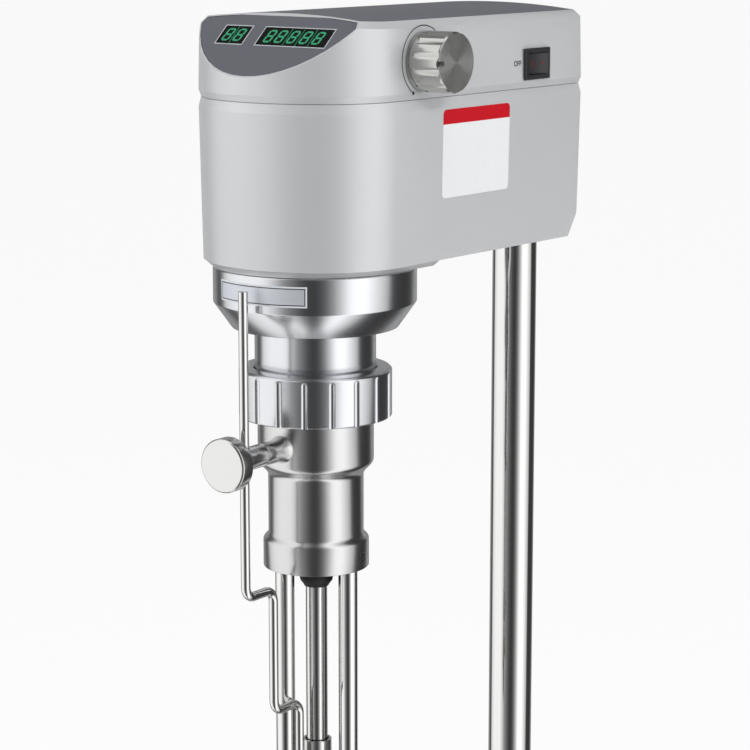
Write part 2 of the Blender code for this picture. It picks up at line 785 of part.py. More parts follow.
def make_body():
    """Lower housing: an open box with a front pad, a chamfered rear foot and posts for the board."""
    body = loft("lower_housing", body_levels(0.0, BODY_Z, SEAM_Z - GAP / 2))
    inset = BODY_DRAFT + GAP
    end = AXIS_Y + PAD_LENGTH
    pad = loft("front_pad", [
        (plan(COLLAR_RADIUS, 0.0, COLLAR_RADIUS, end, 0.0), flat(PAD_Z)),
        (plan(HALF_WIDTH - inset, NOSE_START, NOSE_LENGTH - inset, end, 0.0), flat(BODY_Z)),
        (plan(HALF_WIDTH - inset - WALL, NOSE_START, NOSE_LENGTH - inset - WALL, end - WALL, 0.0),
         flat(BODY_Z + WALL / 2))])
    boolean(body, as_cutter(pad), "UNION")
    origin = (0.0, REAR_Y, BODY_Z + REAR_CHAMFER_HEIGHT)
    slope = math.atan2(REAR_CHAMFER_HEIGHT, REAR_CHAMFER_DEPTH)
    wide = 2 * HOUSING_WIDTH
    boolean(body, as_cutter(tilted_box("rear_chamfer", origin, slope, 0.0, wide,
                                       -REAR_REACH, REAR_REACH, -REAR_REACH, 0.0)))
    cavity = as_cutter(loft("body_cavity", body_levels(WALL, FLOOR_Z, SEAM_Z + WALL)))
    boolean(cavity, as_cutter(tilted_box("cavity_chamfer", origin, slope, 0.0, wide,
                                         -REAR_REACH, REAR_REACH, -REAR_REACH, WALL)))
    boolean(body, cavity)
    hole = SPIGOT_RADIUS + GAP
    spigot = turned("spigot_hole", [(0.0, FLOOR_Z + WALL), (hole, FLOOR_Z + WALL), (hole, PAD_Z - WALL),
                                    (0.0, PAD_Z - WALL)], FINE)
    spigot.rotation_euler = (0.0, 0.0, math.pi / FINE)
    boolean(body, as_cutter(on_axis(spigot)))
    boolean(body, as_cutter(inlet_box("inlet_hole", GAP, -3 * WALL, WALL)))
    holes = [rod_between("hole", (0, REAR_Y - 3 * WALL, z), (0, REAR_Y + WALL, z), BRACKET_SCREW_RADIUS + GAP)
             for z in bracket_screw_heights()]
    boolean(body, as_cutter(joined("rear_screw_holes", holes)))
    posts = [rod_between("post", spot - Vector((0, 0, WALL / 2)), spot + Vector((0, 0, POST_HEIGHT)), POST_RADIUS)
             for spot in post_spots()]
    boolean(body, as_cutter(joined("board_posts", posts)), "UNION")
    finish_object(body, paint())


def make_control_board():
    """Motor control board on its posts, with a heat sink and a capacitor."""
    low = FLOOR_Z + POST_HEIGHT + GAP
    top = low + BOARD_THICKNESS
    root = top - BOARD_THICKNESS / 2
    rear = control_rear()
    board = block("control_board", (-CONTROL_WIDTH / 2, rear - CONTROL_LENGTH, low),
                  (CONTROL_WIDTH / 2, rear, top))
    edge = rear - 2 * POST_INSET
    sink = block("heat_sink", (-HEAT_SINK_WIDTH / 2, edge - HEAT_SINK_LENGTH, root),
                 (HEAT_SINK_WIDTH / 2, edge, top + HEAT_SINK_HEIGHT))
    boolean(board, as_cutter(sink), "UNION")
    spot = Vector((CAPACITOR_ACROSS, rear - CONTROL_LENGTH / 2, root))
    can = rod_between("capacitor", spot, spot + Vector((0, 0, CAPACITOR_HEIGHT)), CAPACITOR_RADIUS)
    boolean(board, as_cutter(can), "UNION")
    finish_object(board, circuit_board())


def make_display():
    """Overlay let into the facet, two windows, and the display board behind them."""
    panel = panel_blank("display_panel", GAP, -PANEL_THICKNESS, 0.0)
    boolean(panel, as_cutter(both_windows("panel_openings", GAP, -WALL, WALL)))
    finish_object(panel, slate_film())
    for name, across, width in (("current_window", CURRENT_ACROSS, CURRENT_WIDTH),
                                ("speed_window", SPEED_ACROSS, SPEED_WIDTH)):
        finish_object(window_box(name, across, width, 0.0, -PANEL_THICKNESS, 0.0), display_glass())
    left = CURRENT_ACROSS - CURRENT_WIDTH / 2 - BOARD_MARGIN
    right = SPEED_ACROSS + SPEED_WIDTH / 2 + BOARD_MARGIN
    start = WINDOW_DOWN - WINDOW_HEIGHT / 2 - BOARD_MARGIN
    top = -WALL - GAP
    board = facet_box("display_board", (left + right) / 2, right - left,
                      start, start + WINDOW_HEIGHT + 2 * BOARD_MARGIN, top - BOARD_THICKNESS, top)
    digits = both_windows("digit_blocks", -WINDOW_LEDGE - GAP, top - BOARD_THICKNESS / 2,
                          -PANEL_THICKNESS - 2 * GAP)
    boolean(board, as_cutter(digits), "UNION")
    finish_object(board, circuit_board())


def make_knob():
    """Fluted speed knob on its potentiometer's shaft."""
    back = HALF_WIDTH + 2 * GAP
    face = back + KNOB_LENGTH
    bore = POT_SHAFT + GAP
    knob = turned("speed_knob", [(0.0, face), (KNOB_RADIUS - KNOB_CHAMFER, face),
                                 (KNOB_RADIUS, face - KNOB_CHAMFER), (KNOB_RADIUS, back),
                                 (bore, back), (bore, back + KNOB_BORE_DEPTH), (0.0, back + KNOB_BORE_DEPTH)], FINE)
    facing_x(knob, KNOB_Y, KNOB_Z)
    reach = KNOB_RADIUS + KNOB_FLUTE_RADIUS - KNOB_FLUTE_DEPTH
    flutes = []
    for number in range(KNOB_FLUTES):
        angle = math.tau * (number + 0.5) / KNOB_FLUTES
        spot = Vector((back + KNOB_RIM, KNOB_Y + reach * math.cos(angle), KNOB_Z + reach * math.sin(angle)))
        flutes.append(rod_between("flute", spot, spot + Vector((KNOB_LENGTH, 0, 0)), KNOB_FLUTE_RADIUS, MEDIUM))
    boolean(knob, as_cutter(joined("knob_flutes", flutes)))
    notch = block("knob_notch", (face - NOTCH_DEPTH, KNOB_Y - KNOB_RADIUS - WALL, KNOB_Z - NOTCH_WIDTH / 2),
                  (face + WALL, KNOB_Y - KNOB_RADIUS + NOTCH_LENGTH, KNOB_Z + NOTCH_WIDTH / 2))
    boolean(knob, as_cutter(notch))
    finish_object(knob, plastic())
    seat = HALF_WIDTH - COVER_DRAFT - WALL - GAP
    tip = back + KNOB_BORE_DEPTH - GAP
    pot = turned("speed_potentiometer",
                 [(0.0, tip), (POT_SHAFT, tip), (POT_SHAFT, back - GAP), (POT_BUSH, back - GAP), (POT_BUSH, seat),
                  (POT_RADIUS, seat), (POT_RADIUS, seat - POT_LENGTH), (0.0, seat - POT_LENGTH)], SMALL)
    finish_object(facing_x(pot, KNOB_Y, KNOB_Z), brushed_steel())


def switch_box(name, inset, low, high):
    """A box on the switch: the bezel's outline moved inwards, low to high about the side face."""
    length = BEZEL_LENGTH / 2 - inset
    height = BEZEL_HEIGHT / 2 - inset
    return block(name, (HALF_WIDTH + low, SWITCH_Y - length, SWITCH_Z - height),
                 (HALF_WIDTH + high, SWITCH_Y + length, SWITCH_Z + height))


def flat_outline(name, points, thickness):
    """A flat outline in the XY plane, extruded to a thickness about that plane."""
    curve = bpy.data.curves.new(name, "CURVE")
    curve.dimensions = "2D"
    curve.fill_mode = "BOTH"
    curve.extrude = thickness / 2
    spline = curve.splines.new("POLY")
    spline.points.add(len(points) - 1)
    for target, (x, y) in zip(spline.points, points):
        target.co = (x, y, 0.0, 1.0)
    spline.use_cyclic_u = True
    return meshed(bpy.data.objects.new(name, curve))


def make_switch():
    """Switch with a raised bezel, and its rocker with the rear end up."""
    bezel = switch_box("switch_bezel", 0.0, GAP, GAP + BEZEL_THICKNESS)
    rim = bezel.modifiers.new("edge", "BEVEL")
    rim.width = BEZEL_EDGE
    rim.segments = 2
    boolean(bezel, as_cutter(switch_box("switch_case", BEZEL_LIP, -SWITCH_DEPTH, 2 * GAP)), "UNION")
    length = ROCKER_LENGTH / 2 + ROCKER_CLEAR
    height = ROCKER_HEIGHT / 2 + GAP
    well = block("rocker_well", (HALF_WIDTH - SWITCH_DEPTH + SWITCH_FLOOR, SWITCH_Y - length, SWITCH_Z - height),
                 (HALF_WIDTH + SWITCH_DEPTH, SWITCH_Y + length, SWITCH_Z + height))
    boolean(bezel, as_cutter(well))
    finish_object(bezel, plastic())
    half = ROCKER_LENGTH / 2
    shallow = ROCKER_SHOULDER
    points = [(-ROCKER_DEPTH, ROCKER_TAPER - half), (0.0, -half), (ROCKER_RISE, -half), (shallow, -half / 2),
              (ROCKER_RISE - ROCKER_DISH, 0.0), (shallow, half / 2), (ROCKER_RISE, half), (0.0, half),
              (-ROCKER_DEPTH, half - ROCKER_TAPER)]
    rocker = flat_outline("power_rocker", points, ROCKER_HEIGHT)
    rocker.location = (HALF_WIDTH, SWITCH_Y, SWITCH_Z)
    rocker.rotation_euler = (0.0, 0.0, -ROCKER_TILT)
    finish_object(rocker, plastic())


def inlet_box(name, grow, low, high):
    """A box on the mains inlet: its case's outline grown on all sides, low to high about the rear face."""
    width = INLET_WIDTH / 2 - INLET_WALL + grow
    height = INLET_HEIGHT / 2 - INLET_WALL + grow
    z = BODY_Z + INLET_UP
    return block(name, (INLET_ACROSS - width, REAR_Y + low, z - height),
                 (INLET_ACROSS + width, REAR_Y + high, z + height))


def make_inlet():
    """Mains inlet in the rear face, its pins inside an open socket."""
    inlet = inlet_box("power_inlet", INLET_WALL, GAP, GAP + INLET_FLANGE)
    boolean(inlet, as_cutter(inlet_box("inlet_case", 0.0, -INLET_DEPTH, 2 * GAP)), "UNION")
    boolean(inlet, as_cutter(inlet_box("inlet_socket", -INLET_WALL, INLET_WALL - INLET_DEPTH, INLET_DEPTH)))
    z = BODY_Z + INLET_UP
    pins = []
    for number in (-1, 0, 1):
        x = INLET_ACROSS + number * PIN_SPACING
        lift = PIN_SIZE if number == 0 else -PIN_SIZE
        pins.append(block("pin", (x - PIN_SIZE / 2, REAR_Y - INLET_DEPTH + INLET_WALL / 2, z + lift - PIN_SIZE),
                          (x + PIN_SIZE / 2, REAR_Y - INLET_WALL, z + lift + PIN_SIZE)))
    boolean(inlet, as_cutter(joined("inlet_pins", pins)), "UNION")
    finish_object(inlet, plastic())


def make_motor():
    """Motor frame and end cap, two bearings, the armature with its shaft, and the fan."""
    seat = MOTOR_BEARING + GAP
    split = MOTOR_TOP_Z - MOTOR_END
    frame = turned("motor_frame", [(MOTOR_RADIUS, split - GAP), (MOTOR_RADIUS, MOTOR_Z), (seat, MOTOR_Z),
                                   (seat, MOTOR_Z + MOTOR_END), (MOTOR_BORE, MOTOR_Z + MOTOR_END),
                                   (MOTOR_BORE, split - GAP)], FINE, ring=True)
    finish_object(on_axis(frame), brushed_steel())
    end = turned("motor_end_cap", [(MOTOR_RADIUS - MOTOR_EDGE, MOTOR_TOP_Z), (MOTOR_RADIUS, MOTOR_TOP_Z - MOTOR_EDGE),
                                   (MOTOR_RADIUS, split), (seat, split), (seat, MOTOR_TOP_Z)], FINE, ring=True)
    finish_object(on_axis(end), aluminium())
    hole = MOTOR_SHAFT + GAP
    for name, low in (("lower_motor_bearing", MOTOR_Z), ("upper_motor_bearing", split)):
        bearing = turned(name, [(MOTOR_BEARING, low + MOTOR_END), (MOTOR_BEARING, low), (hole, low),
                                (hole, low + MOTOR_END)], ring=True)
        finish_object(on_axis(bearing), polished_steel())
    core = MOTOR_BORE - ARMATURE_CLEAR
    low = BELL_TOP_Z + 2 * GAP
    armature = turned("motor_armature", [(0.0, FAN_TOP_Z), (MOTOR_SHAFT, FAN_TOP_Z), (MOTOR_SHAFT, ARMATURE_TOP_Z),
                                         (core, ARMATURE_TOP_Z), (core, ARMATURE_LOW_Z),
                                         (MOTOR_SHAFT, ARMATURE_LOW_Z), (MOTOR_SHAFT, low), (0.0, low)])
    finish_object(on_axis(armature), brushed_steel())
    fan = turned("cooling_fan", [(FAN_HUB, FAN_TOP_Z), (FAN_HUB, FAN_Z + FAN_DISC), (FAN_RADIUS, FAN_Z + FAN_DISC),
                                 (FAN_RADIUS, FAN_Z), (hole, FAN_Z), (hole, FAN_TOP_Z)], ring=True)
    blade = block("fan_blade", (FAN_HUB - FAN_BLADE_WIDTH, -FAN_BLADE_WIDTH / 2, FAN_Z + FAN_DISC / 2),
                  (FAN_RADIUS - FAN_BLADE_WIDTH, FAN_BLADE_WIDTH / 2, FAN_TOP_Z - FAN_DISC / 2))
    boolean(on_axis(fan), as_cutter(pattern("fan_blades", blade, FAN_BLADES)), "UNION")
    finish_object(fan, plastic())


def make_couplings():
    """Two tongues on the motor shaft's end, in a slot on top of the mixing shaft."""
    low = BELL_TOP_Z + GAP
    hole = MOTOR_SHAFT + GAP
    upper = turned("motor_coupling", [(COUPLING_RADIUS, low + COUPLING_LENGTH), (COUPLING_RADIUS, low),
                                      (hole, low), (hole, low + COUPLING_LENGTH)], ring=True)
    tongue = block("tongue", (SHAFT_RADIUS + GAP, -TONGUE_WIDTH / 2, low - TONGUE_DEPTH),
                   (COUPLING_RADIUS - TONGUE_INSET, TONGUE_WIDTH / 2, low + TONGUE_DEPTH))
    boolean(on_axis(upper), as_cutter(pattern("tongues", tongue, 2)), "UNION")
    finish_object(upper, brushed_steel())
    top = BELL_TOP_Z
    bore = SHAFT_RADIUS + GAP
    lower = turned("shaft_coupling", [(COUPLING_RADIUS, top), (COUPLING_RADIUS, top - COUPLING_LENGTH),
                                      (bore, top - COUPLING_LENGTH), (bore, top)], ring=True)
    side = TONGUE_WIDTH / 2 + GAP
    slot = block("coupling_slot", (-2 * COUPLING_RADIUS, AXIS_Y - side, top - TONGUE_DEPTH - GAP),
                 (2 * COUPLING_RADIUS, AXIS_Y + side, top + WALL))
    boolean(on_axis(lower), as_cutter(slot))
    finish_object(lower, brushed_steel())


def make_collar():
    """Turned collar under the housing, its cone and neck in one piece, hollow for the drive."""
    top = PAD_Z - GAP
    spigot = FLOOR_Z - GAP
    bore = SPIGOT_RADIUS - COLLAR_WALL
    collar = turned("mounting_collar",
                    [(SPIGOT_RADIUS, spigot), (SPIGOT_RADIUS, top), (COLLAR_RADIUS - COLLAR_EDGE / 2, top),
                     (COLLAR_RADIUS, top - COLLAR_EDGE), (COLLAR_RADIUS, RIM_Z), (COLLAR_CONE_RADIUS, CONE_Z),
                     (NECK_RADIUS, CONE_Z), (NECK_RADIUS, NECK_END_Z), (CHAMBER_RADIUS, NECK_END_Z),
                     (CHAMBER_RADIUS, CONE_Z), (bore, RIM_Z), (bore, spigot)], FINE, ring=True)
    finish_object(on_axis(collar), aluminium())


def make_ring():
    """Union ring that draws the bell up to the neck, with fluted sides."""
    thread = NECK_RADIUS + RING_CLEAR
    ledge = BELL_TOP_Z - BELL_LUG_HEIGHT - GAP
    lip = BELL_RADIUS + RING_LIP_CLEAR
    shoulder = RING_RADIUS - RING_TOP_CHAMFER
    ring = turned("union_ring",
                  [(thread + RING_RECESS, RING_TOP_Z), (shoulder, RING_TOP_Z - RING_TOP_SLOPE),
                   (RING_RADIUS, RING_TOP_Z - RING_TOP_SLOPE - RING_TOP_CHAMFER), (RING_RADIUS, RING_Z + RING_EDGE),
                   (RING_RADIUS - RING_EDGE, RING_Z), (lip, RING_Z), (lip, ledge), (thread, ledge),
                   (thread, RING_TOP_Z - RING_RECESS)], FINE, ring=True)
    top = RING_TOP_Z - RING_GROOVE_TOP
    bottom = RING_Z - WALL
    groove = meshed(turned("ring_groove",
                           [(0.0, top), (RING_GROOVE_RADIUS - RING_GROOVE_TIP, top - RING_GROOVE_TIP),
                            (RING_GROOVE_RADIUS, top - RING_GROOVE_RADIUS), (RING_GROOVE_RADIUS, bottom),
                            (0.0, bottom)], SMALL))
    groove.location = (0.0, -RING_RADIUS - RING_GROOVE_RADIUS + RING_GROOVE_DEPTH, 0.0)
    boolean(on_axis(ring), as_cutter(pattern("ring_grooves", groove, RING_GROOVES, RING_GROOVE_PHASE)))
    finish_object(ring, aluminium())


def blend(start, end):
    """Points of a smooth S between two profile points."""
    points = []
    for step in range(1, BLEND_STEPS):
        share = step / BLEND_STEPS
        ease = (1 - math.cos(math.pi * share)) / 2
        points.append((start[0] + (end[0] - start[0]) * ease, start[1] + (end[1] - start[1]) * share))
    return points


def boss_flare():
    """The trumpet foot of the clamp boss, from its stem to the bell."""
    start = BELL_RADIUS + STUD_FLARE_LENGTH
    points = []
    for step in range(BLEND_STEPS + 1):
        share = step / BLEND_STEPS
        points.append((STUD_RADIUS + STUD_FLARE * share ** 2, start - STUD_FLARE_LENGTH * share))
    return points


def make_bell():
    """Bell that carries the rods, the bearing and the seal, with a flared boss for the clamp."""
    seat = BELL_Z + BEARING_UP
    ledge = BELL_TOP_Z - BELL_LUG_HEIGHT
    rim = (BELL_RADIUS, BELL_RIM_Z)
    waist = (BELL_WAIST_RADIUS, SHOULDER_Z)
    waist_end = (BELL_WAIST_RADIUS, WAIST_Z)
    foot = (BELL_FOOT_RADIUS, FLARE_Z)
    profile = [(NECK_RADIUS, BELL_TOP_Z), (NECK_RADIUS, ledge), (BELL_RADIUS, ledge), rim]
    profile += blend(rim, waist) + [waist, waist_end] + blend(waist_end, foot) + [foot]
    profile += [(BELL_FOOT_RADIUS, BELL_Z + BELL_EDGE), (BELL_FOOT_RADIUS - BELL_EDGE, BELL_Z),
                (SEAL_RADIUS + GAP, BELL_Z), (SEAL_RADIUS + GAP, seat), (BEARING_RADIUS + GAP, seat),
                (BEARING_RADIUS + GAP, BELL_Z + BELL_FLOOR), (BELL_CHAMBER, BELL_Z + BELL_FLOOR),
                (BELL_CHAMBER, BELL_TOP_Z)]
    bell = on_axis(turned("bell_housing", profile, FINE, ring=True))
    inner = (BELL_CHAMBER + BELL_RADIUS) / 2
    boss = turned("clamp_boss", [(0.0, STUD_SPLIT), (STUD_RADIUS, STUD_SPLIT)] + boss_flare()
                  + [(STUD_RADIUS + STUD_FLARE, inner), (0.0, inner)], ROUND)
    boolean(bell, as_cutter(facing_out(boss, STUD_Z)), "UNION")
    socket = rod_between("boss_socket", polar(STUD_SPLIT - SLEEVE_SPIGOT_LENGTH, STUD_ANGLE, STUD_Z),
                         polar(STUD_SPLIT + WALL, STUD_ANGLE, STUD_Z), SLEEVE_SPIGOT + GAP)
    boolean(bell, as_cutter(socket))
    holes = [rod_between("hole", polar(ROD_CIRCLE, angle, BELL_Z - WALL),
                         polar(ROD_CIRCLE, angle, BELL_Z + ROD_SEAT), ROD_RADIUS + GAP, ROUND)
             for angle in rod_angles()]
    boolean(bell, as_cutter(joined("rod_holes", holes)))
    height = BELL_Z + SET_SCREW_UP
    tapped = rod_between("set_screw_hole", polar(ROD_CIRCLE, rod_angles()[1], height),
                         polar(2 * BELL_FOOT_RADIUS, rod_angles()[1], height), SET_SCREW_RADIUS + GAP)
    boolean(bell, as_cutter(tapped))
    finish_object(bell, brushed_steel())


def make_bell_fittings():
    """Shaft bearing and lip seal in the bell, and the screw that locks one rod."""
    hole = SHAFT_RADIUS + SHAFT_CLEAR
    low = BELL_Z + BEARING_UP + GAP
    bearing = turned("shaft_bearing", [(BEARING_RADIUS, low + BEARING_HEIGHT), (BEARING_RADIUS, low),
                                       (hole, low), (hole, low + BEARING_HEIGHT)], ring=True)
    finish_object(on_axis(bearing), polished_steel())
    waist = BELL_Z - SEAL_TOP_LOBE
    bottom = BELL_Z - SEAL_LENGTH
    seal = turned("shaft_seal",
                  [(SEAL_RADIUS, BELL_Z + SEAL_SEAT), (SEAL_RADIUS, waist + SEAL_EDGE),
                   (SEAL_RADIUS - SEAL_EDGE, waist), (SEAL_LOWER_RADIUS, waist),
                   (SEAL_LOWER_RADIUS, bottom + SEAL_EDGE), (SEAL_LOWER_RADIUS - SEAL_EDGE / 2, bottom),
                   (hole, bottom), (hole, BELL_Z + SEAL_SEAT)], ring=True)
    finish_object(on_axis(seal), rubber())
    angle = rod_angles()[1]
    height = BELL_Z + SET_SCREW_UP
    screw = rod_between("set_screw", polar(ROD_CIRCLE + ROD_RADIUS + GAP, angle, height),
                        polar(BELL_FOOT_RADIUS - SET_SCREW_SINK, angle, height), SET_SCREW_RADIUS)
    finish_object(screw, brushed_steel())


def make_mixing_unit():
    """Three rods, the holder with its bush, the slotted stator, and the shaft with its rotor."""
    for number, angle in enumerate(rod_angles()):
        rod = rod_between("support_rod_" + str(number + 1), polar(ROD_CIRCLE, angle, HOLDER_Z + GAP),
                          polar(ROD_CIRCLE, angle, BELL_Z + ROD_SEAT - GAP), ROD_RADIUS, ROUND)
        finish_object(rod, polished_steel())
    seat = BUSH_RADIUS + GAP
    holder = turned("stator_holder",
                    [(seat, HOLDER_TOP_Z), (HOLDER_RADIUS - HOLDER_EDGE, HOLDER_TOP_Z),
                     (HOLDER_RADIUS, HOLDER_TOP_Z - HOLDER_EDGE), (HOLDER_RADIUS, HOLDER_Z + HOLDER_EDGE),
                     (HOLDER_RADIUS - HOLDER_EDGE, HOLDER_Z), (seat, HOLDER_Z)], FINE, ring=True)
    holes = [rod_between("hole", polar(ROD_CIRCLE, angle, HOLDER_Z - WALL),
                         polar(ROD_CIRCLE, angle, HOLDER_TOP_Z + WALL), ROD_RADIUS + GAP, ROUND)
             for angle in rod_angles()]
    boolean(on_axis(holder), as_cutter(joined("holder_holes", holes)))
    finish_object(holder, polished_steel())
    hole = SHAFT_RADIUS + SHAFT_CLEAR
    shelf = HOLDER_TOP_Z + GAP
    flange = BUSH_RADIUS + BUSH_FLANGE_WIDTH
    end = shelf + BUSH_FLANGE - BUSH_HEIGHT
    bush = turned("shaft_bush", [(flange, shelf + BUSH_FLANGE), (flange, shelf), (BUSH_RADIUS, shelf),
                                 (BUSH_RADIUS, end), (hole, end), (hole, shelf + BUSH_FLANGE)], ring=True)
    finish_object(on_axis(bush), bronze())
    bore = STATOR_RADIUS - STATOR_WALL
    stator = turned("stator", [(STATOR_RADIUS, STATOR_TOP_Z), (STATOR_RADIUS, STATOR_Z + HOLDER_EDGE),
                               (STATOR_RADIUS - HOLDER_EDGE, STATOR_Z), (bore, STATOR_Z),
                               (bore, STATOR_TOP_Z)], FINE, ring=True)
    slot_low = STATOR_Z + STATOR_SLOT_UP
    slot = block("slot", (bore - WALL, -STATOR_SLOT_WIDTH / 2, slot_low),
                 (STATOR_RADIUS + WALL, STATOR_SLOT_WIDTH / 2, slot_low + STATOR_SLOT_HEIGHT))
    boolean(on_axis(stator), as_cutter(pattern("stator_slots", slot, STATOR_SLOTS)))
    finish_object(stator, polished_steel())
    low = STATOR_Z + ROTOR_UP
    high = low + ROTOR_HEIGHT
    shaft = turned("drive_shaft", [(0.0, SHAFT_TOP_Z), (SHAFT_RADIUS, SHAFT_TOP_Z), (SHAFT_RADIUS, high + GAP),
                                   (ROTOR_SPIGOT, high + GAP), (ROTOR_SPIGOT, low), (0.0, low)], ROUND)
    finish_object(on_axis(shaft), polished_steel())
    inner = ROTOR_SPIGOT + GAP
    rotor = turned("rotor", [(ROTOR_HUB, high), (ROTOR_HUB, low), (inner, low), (inner, high)], ROUND, ring=True)
    blade = block("blade", ((inner + ROTOR_HUB) / 2, -ROTOR_BLADE_WIDTH / 2, low + HOLDER_EDGE),
                  (bore - ROTOR_CLEAR, ROTOR_BLADE_WIDTH / 2, high - HOLDER_EDGE))
    boolean(on_axis(rotor), as_cutter(pattern("rotor_blades", blade, ROTOR_BLADES)), "UNION")
    finish_object(rotor, polished_steel())


def wire_path():
    """Centre line of the bent rod in its own plane: (distance from the axis, height), top to bottom."""
    lower = BAFFLE_Z + WIRE_LOWER_RUN
    upper = lower + WIRE_UPPER_RUN
    corners = [((WIRE_OUTER, upper), (0, 1), (-1, 0)), ((WIRE_MIDDLE, upper), (1, 0), (0, -1)),
               ((WIRE_MIDDLE, lower), (0, 1), (-1, 0)), ((WIRE_INNER, lower), (1, 0), (0, -1))]
    points = [(WIRE_OUTER, upper + WIRE_TOP)]
    for (radius, height), back, on in corners:
        for step in range(WIRE_BEND_STEPS + 1):
            angle = math.pi / 2 * step / WIRE_BEND_STEPS
            fall = WIRE_BEND * (1 - math.sin(angle))
            run = WIRE_BEND * (1 - math.cos(angle))
            points.append((radius + back[0] * fall + on[0] * run, height + back[1] * fall + on[1] * run))
    points.append((WIRE_INNER, BAFFLE_Z + GAP))
    return points


def make_baffle():
    """Baffle plate with a sleeve on the shaft, and the bent rod that sets its height."""
    hole = SHAFT_RADIUS + BAFFLE_CLEAR
    top = BAFFLE_Z + BAFFLE_THICKNESS
    sleeve = BAFFLE_Z + BAFFLE_SLEEVE_HEIGHT
    plate = turned("baffle_plate", [(hole, sleeve), (BAFFLE_SLEEVE_RADIUS, sleeve), (BAFFLE_SLEEVE_RADIUS, top),
                                    (BAFFLE_RADIUS, top), (BAFFLE_RADIUS, BAFFLE_Z), (hole, BAFFLE_Z)],
                   FINE, ring=True)
    holes = [rod_between("hole", polar(ROD_CIRCLE, angle, BAFFLE_Z - WALL), polar(ROD_CIRCLE, angle, top + WALL),
                         ROD_RADIUS + BAFFLE_CLEAR, ROUND) for angle in rod_angles()]
    boolean(on_axis(plate), as_cutter(joined("baffle_rod_holes", holes)))
    seat = rod_between("wire_seat", polar(WIRE_INNER, STUD_ANGLE, BAFFLE_Z - WALL),
                       polar(WIRE_INNER, STUD_ANGLE, top + WALL), WIRE_RADIUS + GAP)
    boolean(plate, as_cutter(seat))
    finish_object(plate, polished_steel())
    curve = bpy.data.curves.new("baffle_rod", "CURVE")
    curve.dimensions = "3D"
    curve.bevel_depth = WIRE_RADIUS
    curve.bevel_resolution = 2
    curve.use_fill_caps = True
    spline = curve.splines.new("POLY")
    path = wire_path()
    spline.points.add(len(path) - 1)
    for target, (radius, height) in zip(spline.points, path):
        target.co = (*polar(radius, STUD_ANGLE, height), 1.0)
    finish_object(meshed(bpy.data.objects.new("baffle_rod", curve)), polished_steel())


def make_clamp():
    """Sleeve that the bent rod runs through, and the knob whose screw holds it."""
    back = CLAMP_FACE - CLAMP_THICKNESS
    start = STUD_SPLIT + GAP
    end = back - GAP
    tail = STUD_SPLIT - SLEEVE_SPIGOT_LENGTH + GAP
    sleeve = turned("clamp_sleeve", [(0.0, end), (STUD_RADIUS, end), (STUD_RADIUS, start),
                                     (SLEEVE_SPIGOT, start), (SLEEVE_SPIGOT, tail), (0.0, tail)], ROUND)
    facing_out(sleeve, STUD_Z)
    passage = rod_between("rod_passage", polar(WIRE_OUTER, STUD_ANGLE, STUD_Z - 2 * STUD_RADIUS),
                          polar(WIRE_OUTER, STUD_ANGLE, STUD_Z + 2 * STUD_RADIUS), WIRE_RADIUS + GAP)
    boolean(sleeve, as_cutter(passage))
    thread = rod_between("screw_thread", polar(WIRE_OUTER, STUD_ANGLE, STUD_Z),
                         polar(CLAMP_FACE, STUD_ANGLE, STUD_Z), CLAMP_SCREW + GAP)
    boolean(sleeve, as_cutter(thread))
    finish_object(sleeve, polished_steel())
    tip = WIRE_OUTER + WIRE_RADIUS + GAP
    knob = turned("rod_clamp_knob",
                  [(0.0, CLAMP_FACE), (CLAMP_RADIUS - CLAMP_EDGE, CLAMP_FACE),
                   (CLAMP_RADIUS, CLAMP_FACE - CLAMP_EDGE), (CLAMP_RADIUS, back + CLAMP_EDGE),
                   (CLAMP_RADIUS - CLAMP_EDGE, back), (CLAMP_SCREW, back), (CLAMP_SCREW, tip), (0.0, tip)], FINE)
    finish_object(facing_out(knob, STUD_Z), polished_steel())


def bracket_screw_heights():
    """Heights of the two screws between the housing and its bracket."""
    return [LEVER_Z + side * BRACKET_SCREW_SPACING / 2 for side in (-1, 1)]


